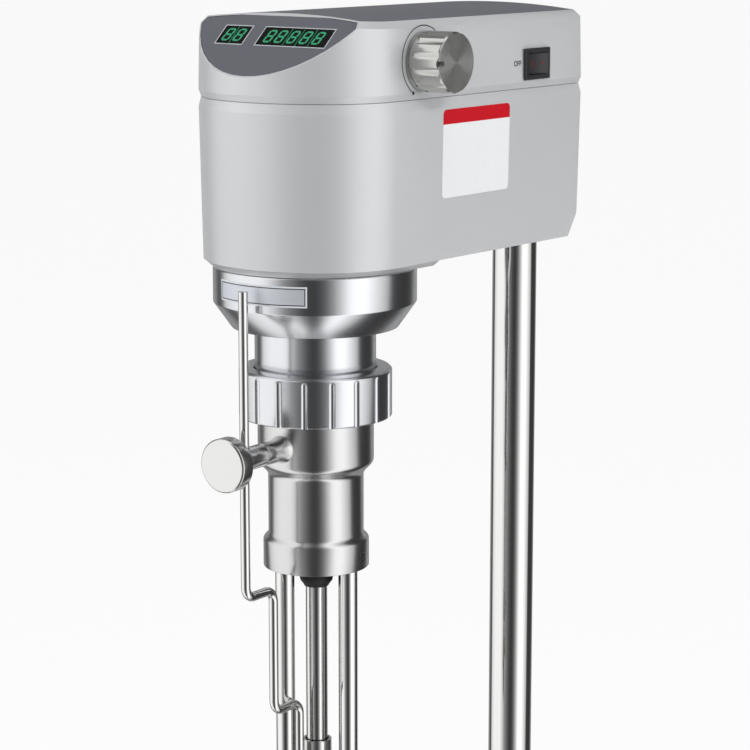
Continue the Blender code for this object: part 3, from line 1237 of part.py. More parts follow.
def make_bracket():
    """Bracket that slides on the column in two bushes, bolted to the housing's rear."""
    top = BRACKET_Z + BRACKET_HEIGHT
    bracket = block("column_bracket", (-BRACKET_HALF_WIDTH, REAR_Y + GAP, BRACKET_Z),
                    (BRACKET_HALF_WIDTH, COLUMN_Y, top))
    barrel = rod_between("bracket_barrel", (0, COLUMN_Y, BRACKET_Z), (0, COLUMN_Y, top), BRACKET_HALF_WIDTH, FINE)
    boolean(bracket, as_cutter(barrel), "UNION")
    outer = COLUMN_RADIUS + COLUMN_CLEAR + COLUMN_BUSH_WALL
    seat = outer + GAP
    waist = COLUMN_RADIUS + BRACKET_RELIEF
    depth = COLUMN_BUSH_HEIGHT + GAP
    bore = turned("bracket_bore", [(0.0, top + WALL), (seat, top + WALL), (seat, top - depth),
                                   (waist, top - depth), (waist, BRACKET_Z + depth), (seat, BRACKET_Z + depth),
                                   (seat, BRACKET_Z - WALL), (0.0, BRACKET_Z - WALL)])
    boolean(bracket, as_cutter(on_column(bore)))
    reach = REAR_Y + GAP + BRACKET_SCREW_DEPTH
    holes = [rod_between("hole", (0, REAR_Y - WALL, z), (0, reach, z), BRACKET_SCREW_RADIUS + GAP)
             for z in bracket_screw_heights()]
    holes.append(rod_between("hole", (-2 * BRACKET_HALF_WIDTH, COLUMN_Y, LEVER_Z), (0, COLUMN_Y, LEVER_Z),
                             LEVER_SCREW + GAP))
    boolean(bracket, as_cutter(joined("bracket_holes", holes)))
    finish_object(bracket, aluminium())
    inner = COLUMN_RADIUS + COLUMN_CLEAR
    for name, low in (("lower_column_bush", BRACKET_Z), ("upper_column_bush", top - COLUMN_BUSH_HEIGHT)):
        bush = turned(name, [(outer, low + COLUMN_BUSH_HEIGHT), (outer, low), (inner, low),
                             (inner, low + COLUMN_BUSH_HEIGHT)], ring=True)
        finish_object(on_column(bush), bronze())
    head = REAR_Y - BODY_DRAFT - WALL - GAP
    length = reach - GAP - head
    for name, z in zip(("bracket_screw_lower", "bracket_screw_upper"), bracket_screw_heights()):
        screw = turned(name, [(0.0, BRACKET_SCREW_HEAD_HEIGHT), (BRACKET_SCREW_HEAD, BRACKET_SCREW_HEAD_HEIGHT),
                              (BRACKET_SCREW_HEAD, 0.0), (BRACKET_SCREW_RADIUS, 0.0),
                              (BRACKET_SCREW_RADIUS, -length), (0.0, -length)], SMALL)
        screw.rotation_euler = (math.pi / 2, 0.0, 0.0)
        screw.location = (0.0, head, z)
        finish_object(screw, brushed_steel())


def make_lever():
    """Clamp lever: a screw against the column, a hub, an arm and a ball grip."""
    hub = BRACKET_HALF_WIDTH + GAP
    end = hub + LEVER_HUB_LENGTH
    tip = COLUMN_RADIUS + GAP
    lever = turned("clamp_lever", [(0.0, end), (LEVER_HUB_RADIUS - LEVER_EDGE, end),
                                   (LEVER_HUB_RADIUS, end - LEVER_EDGE), (LEVER_HUB_RADIUS, hub),
                                   (LEVER_SCREW, hub), (LEVER_SCREW, tip), (0.0, tip)], ROUND)
    lever.rotation_euler = (0.0, -math.pi / 2, 0.0)
    lever.location = (0.0, COLUMN_Y, LEVER_Z)
    reach = Vector((0.0, math.sin(LEVER_LEAN), -math.cos(LEVER_LEAN)))
    start = Vector((-(hub + end) / 2, COLUMN_Y, LEVER_Z))
    far = start + reach * LEVER_ARM_LENGTH
    arm = rod_between("lever_arm", start + reach * LEVER_HUB_RADIUS / 2, far, LEVER_ARM_RADIUS)
    boolean(lever, as_cutter(arm), "UNION")
    bm = bmesh.new()
    bmesh.ops.create_uvsphere(bm, u_segments=SMALL, v_segments=10, radius=LEVER_BALL,
                              matrix=Matrix.Translation(far))
    boolean(lever, as_cutter(object_from("lever_ball", bm)), "UNION")
    finish_object(lever, plastic())


clear_scene()
make_base()
make_feet()
make_column()
make_body()
make_cover()
make_display()
make_control_board()
make_knob()
make_switch()
make_inlet()
make_motor()
make_couplings()
make_collar()
make_ring()
make_bell()
make_bell_fittings()
make_mixing_unit()
make_baffle()
make_clamp()
make_bracket()
make_lever()
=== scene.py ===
"""Bench rotor stator homogenizer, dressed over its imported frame, in the order it is put together."""
import math

import bmesh
import bpy
from mathutils import Matrix, Vector


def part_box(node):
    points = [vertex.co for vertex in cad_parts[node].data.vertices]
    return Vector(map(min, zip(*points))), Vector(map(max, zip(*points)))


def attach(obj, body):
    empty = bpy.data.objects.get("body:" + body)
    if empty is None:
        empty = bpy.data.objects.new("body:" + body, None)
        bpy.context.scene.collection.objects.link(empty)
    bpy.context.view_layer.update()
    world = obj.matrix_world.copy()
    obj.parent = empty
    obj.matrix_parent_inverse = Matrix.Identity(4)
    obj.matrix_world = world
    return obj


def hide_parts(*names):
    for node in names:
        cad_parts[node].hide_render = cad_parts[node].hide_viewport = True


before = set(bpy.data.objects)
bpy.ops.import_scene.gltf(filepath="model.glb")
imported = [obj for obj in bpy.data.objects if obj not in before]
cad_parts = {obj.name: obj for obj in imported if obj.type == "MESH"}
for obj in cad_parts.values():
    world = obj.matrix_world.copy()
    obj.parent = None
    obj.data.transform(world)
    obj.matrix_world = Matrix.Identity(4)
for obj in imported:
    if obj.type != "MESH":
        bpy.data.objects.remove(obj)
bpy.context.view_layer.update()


# Base plate: one thick steel plate with rounded corners and a broken edge, ground flat and
# powder coated pale grey. The vessel stands on it under the rotor.
class Value:
    """A number or colour on its way through a node tree, with arithmetic that adds the nodes."""

    def __init__(self, nodes, socket):
        self.nodes = nodes
        self.socket = socket

    def maths(self, operation, *others):
        return self.nodes.node("ShaderNodeMath", {"operation": operation}, dict(enumerate((self,) + others)))

    def __add__(self, other):
        return self.maths("ADD", other)

    def __sub__(self, other):
        return self.maths("SUBTRACT", other)

    def __rsub__(self, other):
        return self.nodes.node("ShaderNodeMath", {"operation": "SUBTRACT"}, {0: other, 1: self})

    def __mul__(self, other):
        return self.maths("MULTIPLY", other)

    __radd__ = __add__
    __rmul__ = __mul__

    def between(self, low, high):
        """0 below low, 1 above high, and a straight run between."""
        return self.nodes.node("ShaderNodeMapRange", None, {"Value": self, "From Min": low, "From Max": high})


class Nodes:
    """A node tree, filled by one method that sets a node up, feeds it and gives one of its outputs."""

    def __init__(self, tree):
        self.tree = tree

    def node(self, kind, settings=None, sockets=None, out=0):
        made = self.tree.nodes.new(kind)
        for key, value in (settings or {}).items():
            if key == "stops":
                ramp = made.color_ramp.elements
                ramp.remove(ramp[-1])
                for number, (position, level) in enumerate(value):
                    stop = ramp.new(position) if number else ramp[0]
                    stop.position = position
                    stop.color = (level, level, level, 1.0)
            else:
                setattr(made, key, value)
        self.feed_into(made, sockets or {})
        return Value(self, made.outputs[out])

    def feed_into(self, made, sockets):
        for key, value in sockets.items():
            if isinstance(value, Value):
                self.tree.links.new(value.socket, made.inputs[key])
            else:
                made.inputs[key].default_value = value

    def part(self, vector, axis):
        return self.node("ShaderNodeSeparateXYZ", None, {0: vector}, out=axis)

    def length(self, vector):
        return self.node("ShaderNodeVectorMath", {"operation": "LENGTH"}, {0: vector}, out="Value")


class Finish(Nodes):
    """One material: a Principled shader, its plain values, and what varies over the surface."""

    def __init__(self, name, colour, roughness, metallic=0.0):
        self.material = bpy.data.materials.new(name)
        self.material.use_nodes = True
        super().__init__(self.material.node_tree)
        self.shader = self.tree.nodes["Principled BSDF"]
        self.feed("Base Color", (*colour, 1.0))
        self.feed("Roughness", roughness)
        self.feed("Metallic", metallic)

    def feed(self, name, value):
        self.feed_into(self.shader, {name: value})

    def place(self, centre=(0.0, 0.0, 0.0), scale=(1.0, 1.0, 1.0)):
        """Object coordinates, counted from a centre and stretched."""
        spot = self.node("ShaderNodeTexCoord", out="Object")
        moved = self.node("ShaderNodeVectorMath", {"operation": "SUBTRACT"}, {0: spot, 1: centre})
        return self.node("ShaderNodeVectorMath", {"operation": "MULTIPLY"}, {0: moved, 1: scale})

    def noise(self, vector, scale, detail=2.0):
        return self.node("ShaderNodeTexNoise", None, {"Vector": vector, "Scale": scale, "Detail": detail})

    def mix(self, factor, first, second):
        return self.node("ShaderNodeMix", {"data_type": "RGBA"}, {0: factor, 6: first, 7: second}, out=2)

    def bump(self, height, depth, strength=1.0):
        self.feed("Normal", self.node("ShaderNodeBump", None,
                                      {"Strength": strength, "Distance": depth, "Height": height}))


def shade(colour, factor):
    """A colour made a little darker or lighter, with its alpha."""
    return tuple(channel * factor for channel in colour) + (1.0,)


def powder_coat(name, colour):
    """Satin powder coat: a fine orange peel, and a slow drift in tone and gloss."""
    finish = Finish(name, colour, 0.3)
    finish.feed("IOR", 1.7)
    finish.feed("Specular IOR Level", 1.0)
    spot = finish.place()
    grain = finish.noise(spot, 900.0, 1.0)
    drift = finish.noise(spot, 14.0, 3.0)
    tone = drift * 0.7 + grain * 0.3
    finish.feed("Base Color", finish.mix(tone, shade(colour, 0.97), shade(colour, 1.03)))
    finish.feed("Roughness", 0.285 + 0.03 * drift)
    finish.bump(grain, 0.000002, 0.2)
    return finish


def finished(name, bm, angle=28.0):
    """A smooth-shaded object of a bmesh, creased where faces meet at more than an angle."""
    mesh = bpy.data.meshes.new(name)
    bm.to_mesh(mesh)
    bm.free()
    mesh.shade_smooth()
    mesh.set_sharp_from_angle(angle=math.radians(angle))
    made = bpy.data.objects.new(name, mesh)
    bpy.context.scene.collection.objects.link(made)
    return made


def wear(piece, finish, body, slot, *nodes):
    """Give a piece its material and body, and hide the nodes it stands for. The slot is not used."""
    piece.data.materials.clear()
    piece.data.materials.append(finish.material)
    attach(piece, body)
    if nodes:
        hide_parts(*nodes)
    return piece


def refined(node, edge=0.0, angle=28.0):
    """A copy of a node with its triangles joined into clean faces, and its edges rounded."""
    bm = bmesh.new()
    bm.from_mesh(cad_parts[node].data)
    bmesh.ops.remove_doubles(bm, verts=bm.verts, dist=0.00001)
    bmesh.ops.dissolve_limit(bm, angle_limit=math.radians(1.0), use_dissolve_boundaries=False,
                             verts=bm.verts, edges=bm.edges)
    bmesh.ops.recalc_face_normals(bm, faces=bm.faces)
    piece = finished(node + "_finished", bm, angle)
    if edge:
        rounding = piece.modifiers.new("edges", "BEVEL")
        rounding.width = edge
        rounding.segments = 2
        rounding.limit_method = "ANGLE"
        rounding.angle_limit = math.radians(angle)
        rounding.harden_normals = True
    return piece


def carried_over(finish, *nodes):
    """Nodes whose shape stays as it is, with a better material."""
    for node in nodes:
        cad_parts[node].data.materials.clear()
        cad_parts[node].data.materials.append(finish.material)


grey_coat = powder_coat("pale_grey_powder_coat", (0.52, 0.53, 0.54))
wear(refined("base_plate"), grey_coat, "base", "pale_grey_paint", "base_plate")


# Feet: four black rubber buttons, moulded with a hollow underside and pushed on from below.
# They keep the heavy plate off the bench.
def turned_bmesh(profile, steps=96, edge=0.0, closed=True):
    """A profile of (radius, height) spun round Z, outer side first, with its edges rounded."""
    bm = bmesh.new()
    points = [bm.verts.new((radius, 0.0, height)) for radius, height in profile]
    lines = [bm.edges.new(pair) for pair in zip(points, points[1:])]
    if closed:
        lines.append(bm.edges.new((points[-1], points[0])))
    bmesh.ops.spin(bm, geom=points + lines, cent=(0, 0, 0), axis=(0, 0, 1), angle=math.tau, steps=steps,
                   use_merge=True)
    bmesh.ops.remove_doubles(bm, verts=bm.verts, dist=0.000005)
    bmesh.ops.recalc_face_normals(bm, faces=bm.faces)
    if edge:
        corners = [line for line in bm.edges
                   if line.is_manifold and line.calc_face_angle() > math.radians(24)]
        bmesh.ops.bevel(bm, geom=corners, offset=edge, segments=3, profile=0.5, affect="EDGES",
                        material=-1, clamp_overlap=True)
    return bm


def placed(bm, *matrices):
    """The bmesh moved by each matrix in turn."""
    for matrix in matrices:
        bmesh.ops.transform(bm, matrix=matrix, verts=bm.verts)
    return bm


rubber = Finish("black_foot_rubber", (0.018, 0.018, 0.019), 0.6)
grain = rubber.noise(rubber.place(), 900.0, 3.0)
rubber.feed("Roughness", 0.52 + 0.2 * grain)
rubber.feed("Base Color", rubber.mix(grain, (0.012, 0.012, 0.013, 1.0), (0.03, 0.03, 0.031, 1.0)))
rubber.bump(grain, 0.00005, 0.5)
FOOT_X, FOOT_Y = 0.077, 0.142
for end, y in (("front", -FOOT_Y), ("rear", FOOT_Y)):
    for side, x in (("left", -FOOT_X), ("right", FOOT_X)):
        foot = turned_bmesh([(0.0, 0.008), (0.016, 0.008), (0.016, 0.0024), (0.0141, 0.0), (0.009, 0.0),
                             (0.0075, 0.0012), (0.0, 0.0012)], 64, 0.0004, closed=False)
        name = "foot_" + end + "_" + side
        wear(finished(name + "_finished", placed(foot, Matrix.Translation((x, y, 0.0)))), rubber,
             "base", "black_rubber", name)


# Column and its flange: a 30 mm polished stainless tube, standing in a painted flange held by
# four socket screws, and closed at the top with a black plug.
def polished_steel(name, streaks, roughness=0.1):
    """Bright stainless steel with faint polishing lines; streaks stretches them."""
    finish = Finish(name, (0.66, 0.655, 0.65), roughness, 1.0)
    lines = finish.noise(finish.place(scale=streaks), 1.0, 3.0)
    patches = finish.noise(finish.place(), 25.0, 2.0)
    finish.feed("Roughness", (roughness - 0.03) + 0.05 * lines + 0.03 * patches)
    finish.feed("Base Color", finish.mix(lines, (0.62, 0.615, 0.61, 1.0), (0.70, 0.695, 0.69, 1.0)))
    finish.bump(lines, 0.00001, 0.3)
    return finish


COLUMN_Y = 0.140
TUBE_RADIUS, TUBE_BORE = 0.015, 0.012
TUBE_LOW, TUBE_HIGH = 0.0216, 0.718
on_column = Matrix.Translation((0.0, COLUMN_Y, 0.0))
column_steel = polished_steel("polished_column_steel", (900.0, 900.0, 12.0))
tube = turned_bmesh([(TUBE_RADIUS, TUBE_HIGH), (TUBE_RADIUS, TUBE_LOW), (TUBE_BORE, TUBE_LOW),
                     (TUBE_BORE, TUBE_HIGH)], 128, 0.0003)
wear(finished("column_tube", placed(tube, on_column)), column_steel, "base", "polished_steel", "column")
moulded_black = Finish("moulded_black_plastic", (0.02, 0.02, 0.022), 0.4)
grain = moulded_black.noise(moulded_black.place(), 1800.0, 2.0)
moulded_black.feed("Roughness", 0.34 + 0.14 * grain)
moulded_black.feed("Base Color",
                   moulded_black.mix(grain, (0.014, 0.014, 0.016, 1.0), (0.028, 0.028, 0.03, 1.0)))
moulded_black.bump(grain, 0.00003, 0.4)
plug = turned_bmesh([(0.0, 0.7223), (0.0128, 0.7223), (0.015, 0.7207), (0.015, 0.7183), (0.0117, 0.7183),
                     (0.0117, 0.7063), (0.0, 0.7063)], 96, 0.0003, closed=False)
wear(finished("column_plug", placed(plug, on_column)), moulded_black, "base", "black_plastic", "column_cap")
wear(refined("column_flange", 0.0003), grey_coat, "base", "pale_grey_paint", "column_flange")


def socket_screw(radius, height, length, thread, drive):
    """A cap screw standing on Z = 0: a head with a driving socket, and a plain shank."""
    well = height - 0.0012
    return turned_bmesh([(0.0, well), (drive, well), (drive, height), (radius, height), (radius, 0.0),
                         (thread, 0.0), (thread, -length), (0.0, -length)], 36, 0.0002, closed=False)


screw_steel = Finish("black_oxide_screw_steel", (0.10, 0.10, 0.105), 0.35, 1.0)
specks = screw_steel.noise(screw_steel.place(), 1500.0, 2.0)
screw_steel.feed("Roughness", 0.28 + 0.2 * specks)
screw_steel.bump(specks, 0.00002, 0.3)
SCREW_HEAD = 0.0022
for number in range(4):
    node = "flange_screw_" + str(number + 1)
    low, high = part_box(node)
    screw = socket_screw(0.0032, SCREW_HEAD, 0.016, 0.0020, 0.0016)
    spot = Vector(((low.x + high.x) / 2, (low.y + high.y) / 2, high.z - SCREW_HEAD))
    wear(finished(node + "_finished", placed(screw, Matrix.Translation(spot))), screw_steel,
         "base", "brushed_steel", node)


# Column bracket: a milled aluminium block with a round back, bored for the column, riding on two
# bronze bushes and bolted to the rear of the head from inside.
def machined(name, colour, roughness=0.34):
    """Milled or turned light metal: fine tool lines in all three directions."""
    finish = Finish(name, colour, roughness, 1.0)
    lines = finish.noise(finish.place(scale=(40.0, 40.0, 3000.0)), 1.0, 2.0)
    finish.feed("Roughness", roughness - 0.05 + 0.12 * lines)
    finish.feed("Base Color", finish.mix(lines, shade(colour, 0.94), shade(colour, 1.04)))
    finish.bump(lines, 0.00001, 0.4)
    return finish


milled_aluminium = machined("milled_aluminium", (0.66, 0.67, 0.69))
wear(refined("column_bracket", 0.0005), milled_aluminium, "head", "turned_aluminium", "column_bracket")
bronze = machined("sintered_bronze", (0.50, 0.34, 0.16), 0.38)
BUSH_RADIUS, BUSH_BORE = 0.0189, 0.0154
for node in ("lower_column_bush", "upper_column_bush"):
    low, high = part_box(node)
    bush = turned_bmesh([(BUSH_RADIUS, high.z), (BUSH_RADIUS, low.z), (BUSH_BORE, low.z),
                         (BUSH_BORE, high.z)], 96, 0.0003)
    wear(finished(node + "_finished", placed(bush, on_column)), bronze, "head", "bearing_bronze", node)
carried_over(screw_steel, "bracket_screw_lower", "bracket_screw_upper")


# Clamp lever: a steel screw with a moulded black hub, arm and ball. Swung down it presses
# against the column and holds the head at its height.
wear(refined("clamp_lever", 0.0003, 35.0), moulded_black, "lever", "black_plastic", "clamp_lever")


# Lower housing: a deep cast box with a rounded nose, a small step under the front where the
# collar seats, and a cut-off corner at the bottom of the back, finished in pale grey.
wear(refined("lower_housing", 0.0, 24.0), grey_coat, "head", "pale_grey_paint", "lower_housing")


# Top cover: a shallow cast lid with a slight crown and a bevel all round, meeting the box in a
# V groove. Its upward crown faces take the display's slate film colour: a painted dark reflection of the
# ceiling over the grey-painted top.
# The display's real slate film, also used on the crown as a painted dark reflection.
film_and_crown_reflection = Finish("slate_film_and_crown_reflection", (0.105, 0.11, 0.13), 0.42)
weave = film_and_crown_reflection.noise(film_and_crown_reflection.place(), 2200.0, 2.0)
tone = film_and_crown_reflection.noise(film_and_crown_reflection.place(), 18.0, 2.0)
film_and_crown_reflection.feed("Base Color", film_and_crown_reflection.mix(tone, (0.098, 0.103, 0.122, 1.0), (0.112, 0.117, 0.138, 1.0)))
film_and_crown_reflection.feed("Roughness", 0.38 + 0.12 * weave)
film_and_crown_reflection.bump(weave, 0.00002, 0.4)
cover = wear(refined("top_cover", 0.0, 24.0), grey_coat, "head", "pale_grey_paint", "top_cover")
cover.data.materials.append(film_and_crown_reflection.material)
# Faces pointing up are painted slate: a painted dark reflection, not a film on the grey top.
for face in cover.data.polygons:
    face.material_index = int(face.normal.z > 0.94)


# Display: a printed slate film let into the sloping facet, two dark windows in pale frames, and
# green seven-segment figures behind them, two for the current and five for the speed.
FACET = math.radians(42.0)
FACET_TOP = Vector((0.0, -0.103, 0.7288))
DOWN_TO_WINDOWS = 0.0178
facet_turn = Matrix.Rotation(FACET, 4, "X")
on_facet = Matrix.Translation(FACET_TOP + facet_turn @ Vector((0, -DOWN_TO_WINDOWS, 0))) @ facet_turn
WINDOW_HEIGHT = 0.0149
FRAME_WIDTH = 0.0006
PRINT_LIFT = 0.00008
# Each window's place across, its width, and where its figures and its dividing lines stand in it.
WINDOWS = {"current": (-0.0281, 0.0208, (-0.0043, 0.0045), (0.0001,)),
           "speed": (0.0193, 0.0530, (-0.0190, -0.0106, -0.0011, 0.0085, 0.0181), (-0.0055, 0.0038, 0.0134))}

wear(refined("display_panel", 0.0), film_and_crown_reflection, "head", "slate_film", "display_panel")

glass = Finish("dark_display_window", (0.006, 0.007, 0.007), 0.08)
smear = glass.noise(glass.place(), 60.0, 3.0)
glass.feed("Roughness", 0.05 + 0.08 * smear)
wear(refined("current_window"), glass, "head", "display_glass", "current_window")
wear(refined("speed_window"), glass, "head", "display_glass", "speed_window")


def ink(name, colour, roughness, spread, scale):
    """Printing ink with a slightly uneven gloss."""
    finish = Finish(name, colour, roughness)
    finish.feed("Roughness", roughness + spread * finish.noise(finish.place(), scale))
    return finish


pale_print = ink("pale_window_frame", (0.52, 0.55, 0.56), 0.4, 0.15, 900.0)
green_light = Finish("green_figures", (0.01, 0.16, 0.07), 0.4)
glow = green_light.noise(green_light.place(), 400.0, 1.0)
green_light.feed("Emission Color", green_light.mix(glow, (0.015, 0.20, 0.09, 1.0), (0.035, 0.33, 0.16, 1.0)))
green_light.feed("Emission Strength", 0.6)


def flat_bar(bm, length, width, matrix, height=0.00012, tip=0.45):
    """A thin bar along X with pointed ends, lying on a face."""
    made = bmesh.ops.create_cube(bm, size=1.0, matrix=Matrix.Diagonal((length, width, height, 1.0)))
    corners = dict.fromkeys(line for vert in made["verts"] for line in vert.link_edges
                            if abs(line.verts[0].co.z - line.verts[1].co.z) > height / 2)
    before = set(bm.verts) - set(made["verts"])
    bmesh.ops.bevel(bm, geom=list(corners), offset=width * tip, segments=1, profile=0.5, affect="EDGES",
                    material=-1)
    bmesh.ops.transform(bm, matrix=matrix, verts=[vert for vert in bm.verts if vert not in before])


DIGIT_HEIGHT = 0.0104
DIGIT_WIDTH = 0.0060
STROKE = 0.00125
STROKE_GAP = 0.0003
SLANT = Matrix(((1, 0.12, 0, 0), (0, 1, 0, 0), (0, 0, 1, 0), (0, 0, 0, 1)))
upright = Matrix.Rotation(math.pi / 2, 4, "Z")
reach = DIGIT_WIDTH - STROKE
half = (DIGIT_HEIGHT - STROKE) / 2
for name, (across, width, digits, lines) in WINDOWS.items():
    rim = bmesh.new()
    rim_size = (width + 2 * FRAME_WIDTH, WINDOW_HEIGHT + 2 * FRAME_WIDTH, 1.0, 1.0)
    bmesh.ops.create_grid(rim, x_segments=1, y_segments=1, size=0.5, matrix=Matrix.Diagonal(rim_size))
    middle = list(rim.faces)
    bmesh.ops.inset_individual(rim, faces=middle, thickness=FRAME_WIDTH, depth=0.0, use_even_offset=True)
    bmesh.ops.delete(rim, geom=middle, context="FACES_ONLY")
    bmesh.ops.solidify(rim, geom=list(rim.faces), thickness=0.0001)
    bmesh.ops.recalc_face_normals(rim, faces=rim.faces)
    placed(rim, Matrix.Translation((across, 0, PRINT_LIFT)), on_facet)
    wear(finished(name + "_frame", rim), pale_print, "head", "display_glass")
    lit = bmesh.new()
    for x in digits:
        spot = Matrix.Translation((across + x, 0, PRINT_LIFT)) @ SLANT
        for y in (-half, 0.0, half):
            flat_bar(lit, reach - STROKE_GAP, STROKE, spot @ Matrix.Translation((0, y, 0)))
        for side in (-1, 1):
            for y in (-half / 2, half / 2):
                beside = spot @ Matrix.Translation((side * reach / 2, y, 0))
                flat_bar(lit, half - STROKE_GAP, STROKE, beside @ upright)
    for x in lines:
        flat_bar(lit, WINDOW_HEIGHT - 0.0004, 0.00025,
                 Matrix.Translation((across + x, 0, 0.00006)) @ upright, 0.00008, 0.1)
    wear(finished(name + "_figures", placed(lit, on_facet)), green_light, "head", "display_glass")

laminate = Finish("green_circuit_laminate", (0.03, 0.20, 0.09), 0.45)
tracks = laminate.node("ShaderNodeTexBrick", None, {"Vector": laminate.place(), "Scale": 220.0,
                                                   "Color1": (0.03, 0.20, 0.09, 1.0),
                                                   "Color2": (0.02, 0.15, 0.07, 1.0),
                                                   "Mortar": (0.10, 0.32, 0.16, 1.0)})
laminate.feed("Base Color", tracks)
carried_over(laminate, "display_board", "control_board")


# Speed knob: turned from aluminium bar with broad shallow flutes milled along its side, a faced
# front that shows the tool's rings, and an index notch at its edge.
KNOB_Y, KNOB_Z = -0.0565, 0.7019
knob_metal = Finish("faced_knob_metal", (0.50, 0.50, 0.48), 0.22, 1.0)
radius = knob_metal.length(knob_metal.place(centre=(0.0, KNOB_Y, KNOB_Z), scale=(0.0, 1.0, 1.0)))
rings = (radius * 34000.0).maths("SINE")
face = knob_metal.part(knob_metal.place(), "X").between(0.0930, 0.0934)
drag = knob_metal.noise(knob_metal.place(scale=(15.0, 900.0, 900.0)), 1.0, 2.0)
knob_metal.feed("Roughness", 0.16 + 0.10 * drag)
knob_metal.bump(rings * face + drag * 0.2, 0.000012, 0.8)
wear(refined("speed_knob", 0.0003, 20.0), knob_metal, "knob", "turned_aluminium", "speed_knob")


def on_side(y, z, plane, lean):
    """Places a flat print on the +X side: X to the rear, Y up and Z outward, leaning with the wall."""
    turn = Matrix((Vector((0, 1, 0)), Vector((-math.sin(lean), 0, math.cos(lean))),
                   Vector((math.cos(lean), 0, math.sin(lean))))).transposed().to_4x4()
    return Matrix.Translation((plane, y, z)) @ turn


WALL_X = 0.0698
COVER_FOOT = 0.6834
COVER_LEAN = math.atan(0.0009 / 0.0392)
INK_DEPTH = 0.00006
ARC_INNER, ARC_OUTER = 0.0210, 0.0216
ARC_START, ARC_SWEEP = math.radians(238.0), math.radians(296.0)
DOT_ANGLE, DOT_RADIUS = math.radians(240.0), 0.0011
knob_plane = WALL_X - (KNOB_Z - COVER_FOOT) * math.tan(COVER_LEAN)
print_black = ink("printed_black", (0.02, 0.02, 0.022), 0.45, 0.1, 800.0)
arc = bmesh.new()
strip = [arc.verts.new((radius, 0.0, 0.0)) for radius in (ARC_INNER, ARC_OUTER)]
edge = arc.edges.new(strip)
bmesh.ops.spin(arc, geom=strip + [edge], cent=(0, 0, 0), axis=(0, 0, 1), angle=-ARC_SWEEP, steps=120)
placed(arc, Matrix.Rotation(ARC_START, 4, "Z"))
dot_place = Matrix.Rotation(DOT_ANGLE, 4, "Z") @ Matrix.Translation(((ARC_INNER + ARC_OUTER) / 2, 0.0, 0.0))
bmesh.ops.create_circle(arc, cap_ends=True, segments=24, radius=DOT_RADIUS, matrix=dot_place)
bmesh.ops.recalc_face_normals(arc, faces=arc.faces)
bmesh.ops.solidify(arc, geom=list(arc.faces), thickness=INK_DEPTH)
placed(arc, Matrix.Translation((0, 0, INK_DEPTH)), on_side(KNOB_Y, KNOB_Z, knob_plane, COVER_LEAN))
bmesh.ops.recalc_face_normals(arc, faces=arc.faces)
wear(finished("printed_speed_arc", arc), print_black, "head", "black_plastic")
carried_over(screw_steel, "speed_potentiometer")


# Power switch: a snap-in rocker switch of moulded black plastic with a raised bezel. The rocker
# shows a faint red ring at its off end and a bar at its on end.
SWITCH_Y, SWITCH_Z = 0.0608, 0.6945
MARK_DEPTH = 0.0003
wear(refined("switch_bezel", 0.0), moulded_black, "head", "black_plastic", "switch_bezel")
wear(refined("power_rocker", 0.0003), moulded_black, "switch", "black_plastic", "power_rocker")
red_print = ink("dim_red_print", (0.22, 0.012, 0.012), 0.4, 0.1, 900.0)
marks = bmesh.new()
ring = [marks.verts.new((radius, 0.0, 0.0)) for radius in (0.0011, 0.00145)]
edge = marks.edges.new(ring)
bmesh.ops.spin(marks, geom=ring + [edge], cent=(0, 0, 0), axis=(0, 0, 1), angle=math.tau, steps=40,
               use_merge=True)
bmesh.ops.remove_doubles(marks, verts=marks.verts, dist=0.000005)
bmesh.ops.scale(marks, vec=(1.0, 1.15, 1.0), verts=marks.verts)
placed(marks, Matrix.Translation((-0.0050, 0, 0)))
bmesh.ops.create_grid(marks, x_segments=1, y_segments=1, size=0.5,
                      matrix=Matrix.Translation((0.0048, 0, 0)) @ Matrix.Diagonal((0.0030, 0.0005, 1.0, 1.0)))
bmesh.ops.recalc_face_normals(marks, faces=marks.faces)
bmesh.ops.solidify(marks, geom=list(marks.faces), thickness=MARK_DEPTH)
rocker_face = Matrix.Translation((WALL_X, SWITCH_Y, SWITCH_Z)) @ Matrix.Rotation(math.radians(-7.0), 4, "Z")
placed(marks, Matrix.Translation((0, 0, 0.00155)), on_side(0.0, 0.0, 0.0, 0.0), rocker_face)
bmesh.ops.recalc_face_normals(marks, faces=marks.faces)
wear(finished("rocker_marks", marks), red_print, "switch", "black_plastic")


def lettering(name, text, size, matrix, finish, slot):
    """Plain printed letters, made a thin mesh before they are placed."""
    words = bpy.data.curves.new(name, "FONT")
    words.body = text
    words.size = size
    words.align_x = "CENTER"
    words.align_y = "CENTER"
    words.extrude = INK_DEPTH / 2
    words.offset = 0.0001
    drawn = bpy.data.objects.new(name + "_curve", words)
    bpy.context.scene.collection.objects.link(drawn)
    mesh = bpy.data.meshes.new_from_object(drawn.evaluated_get(bpy.context.evaluated_depsgraph_get()))
    bpy.data.objects.remove(drawn)
    mesh.transform(matrix)
    piece = bpy.data.objects.new(name, mesh)
    bpy.context.scene.collection.objects.link(piece)
    return wear(piece, finish, "head", slot)


switch_plane = WALL_X - (SWITCH_Z - COVER_FOOT) * math.tan(COVER_LEAN)
lettering("off_mark", "OFF", 0.0046, on_side(0.0413, 0.6952, switch_plane + INK_DEPTH / 2, COVER_LEAN),
          print_black, "black_plastic")


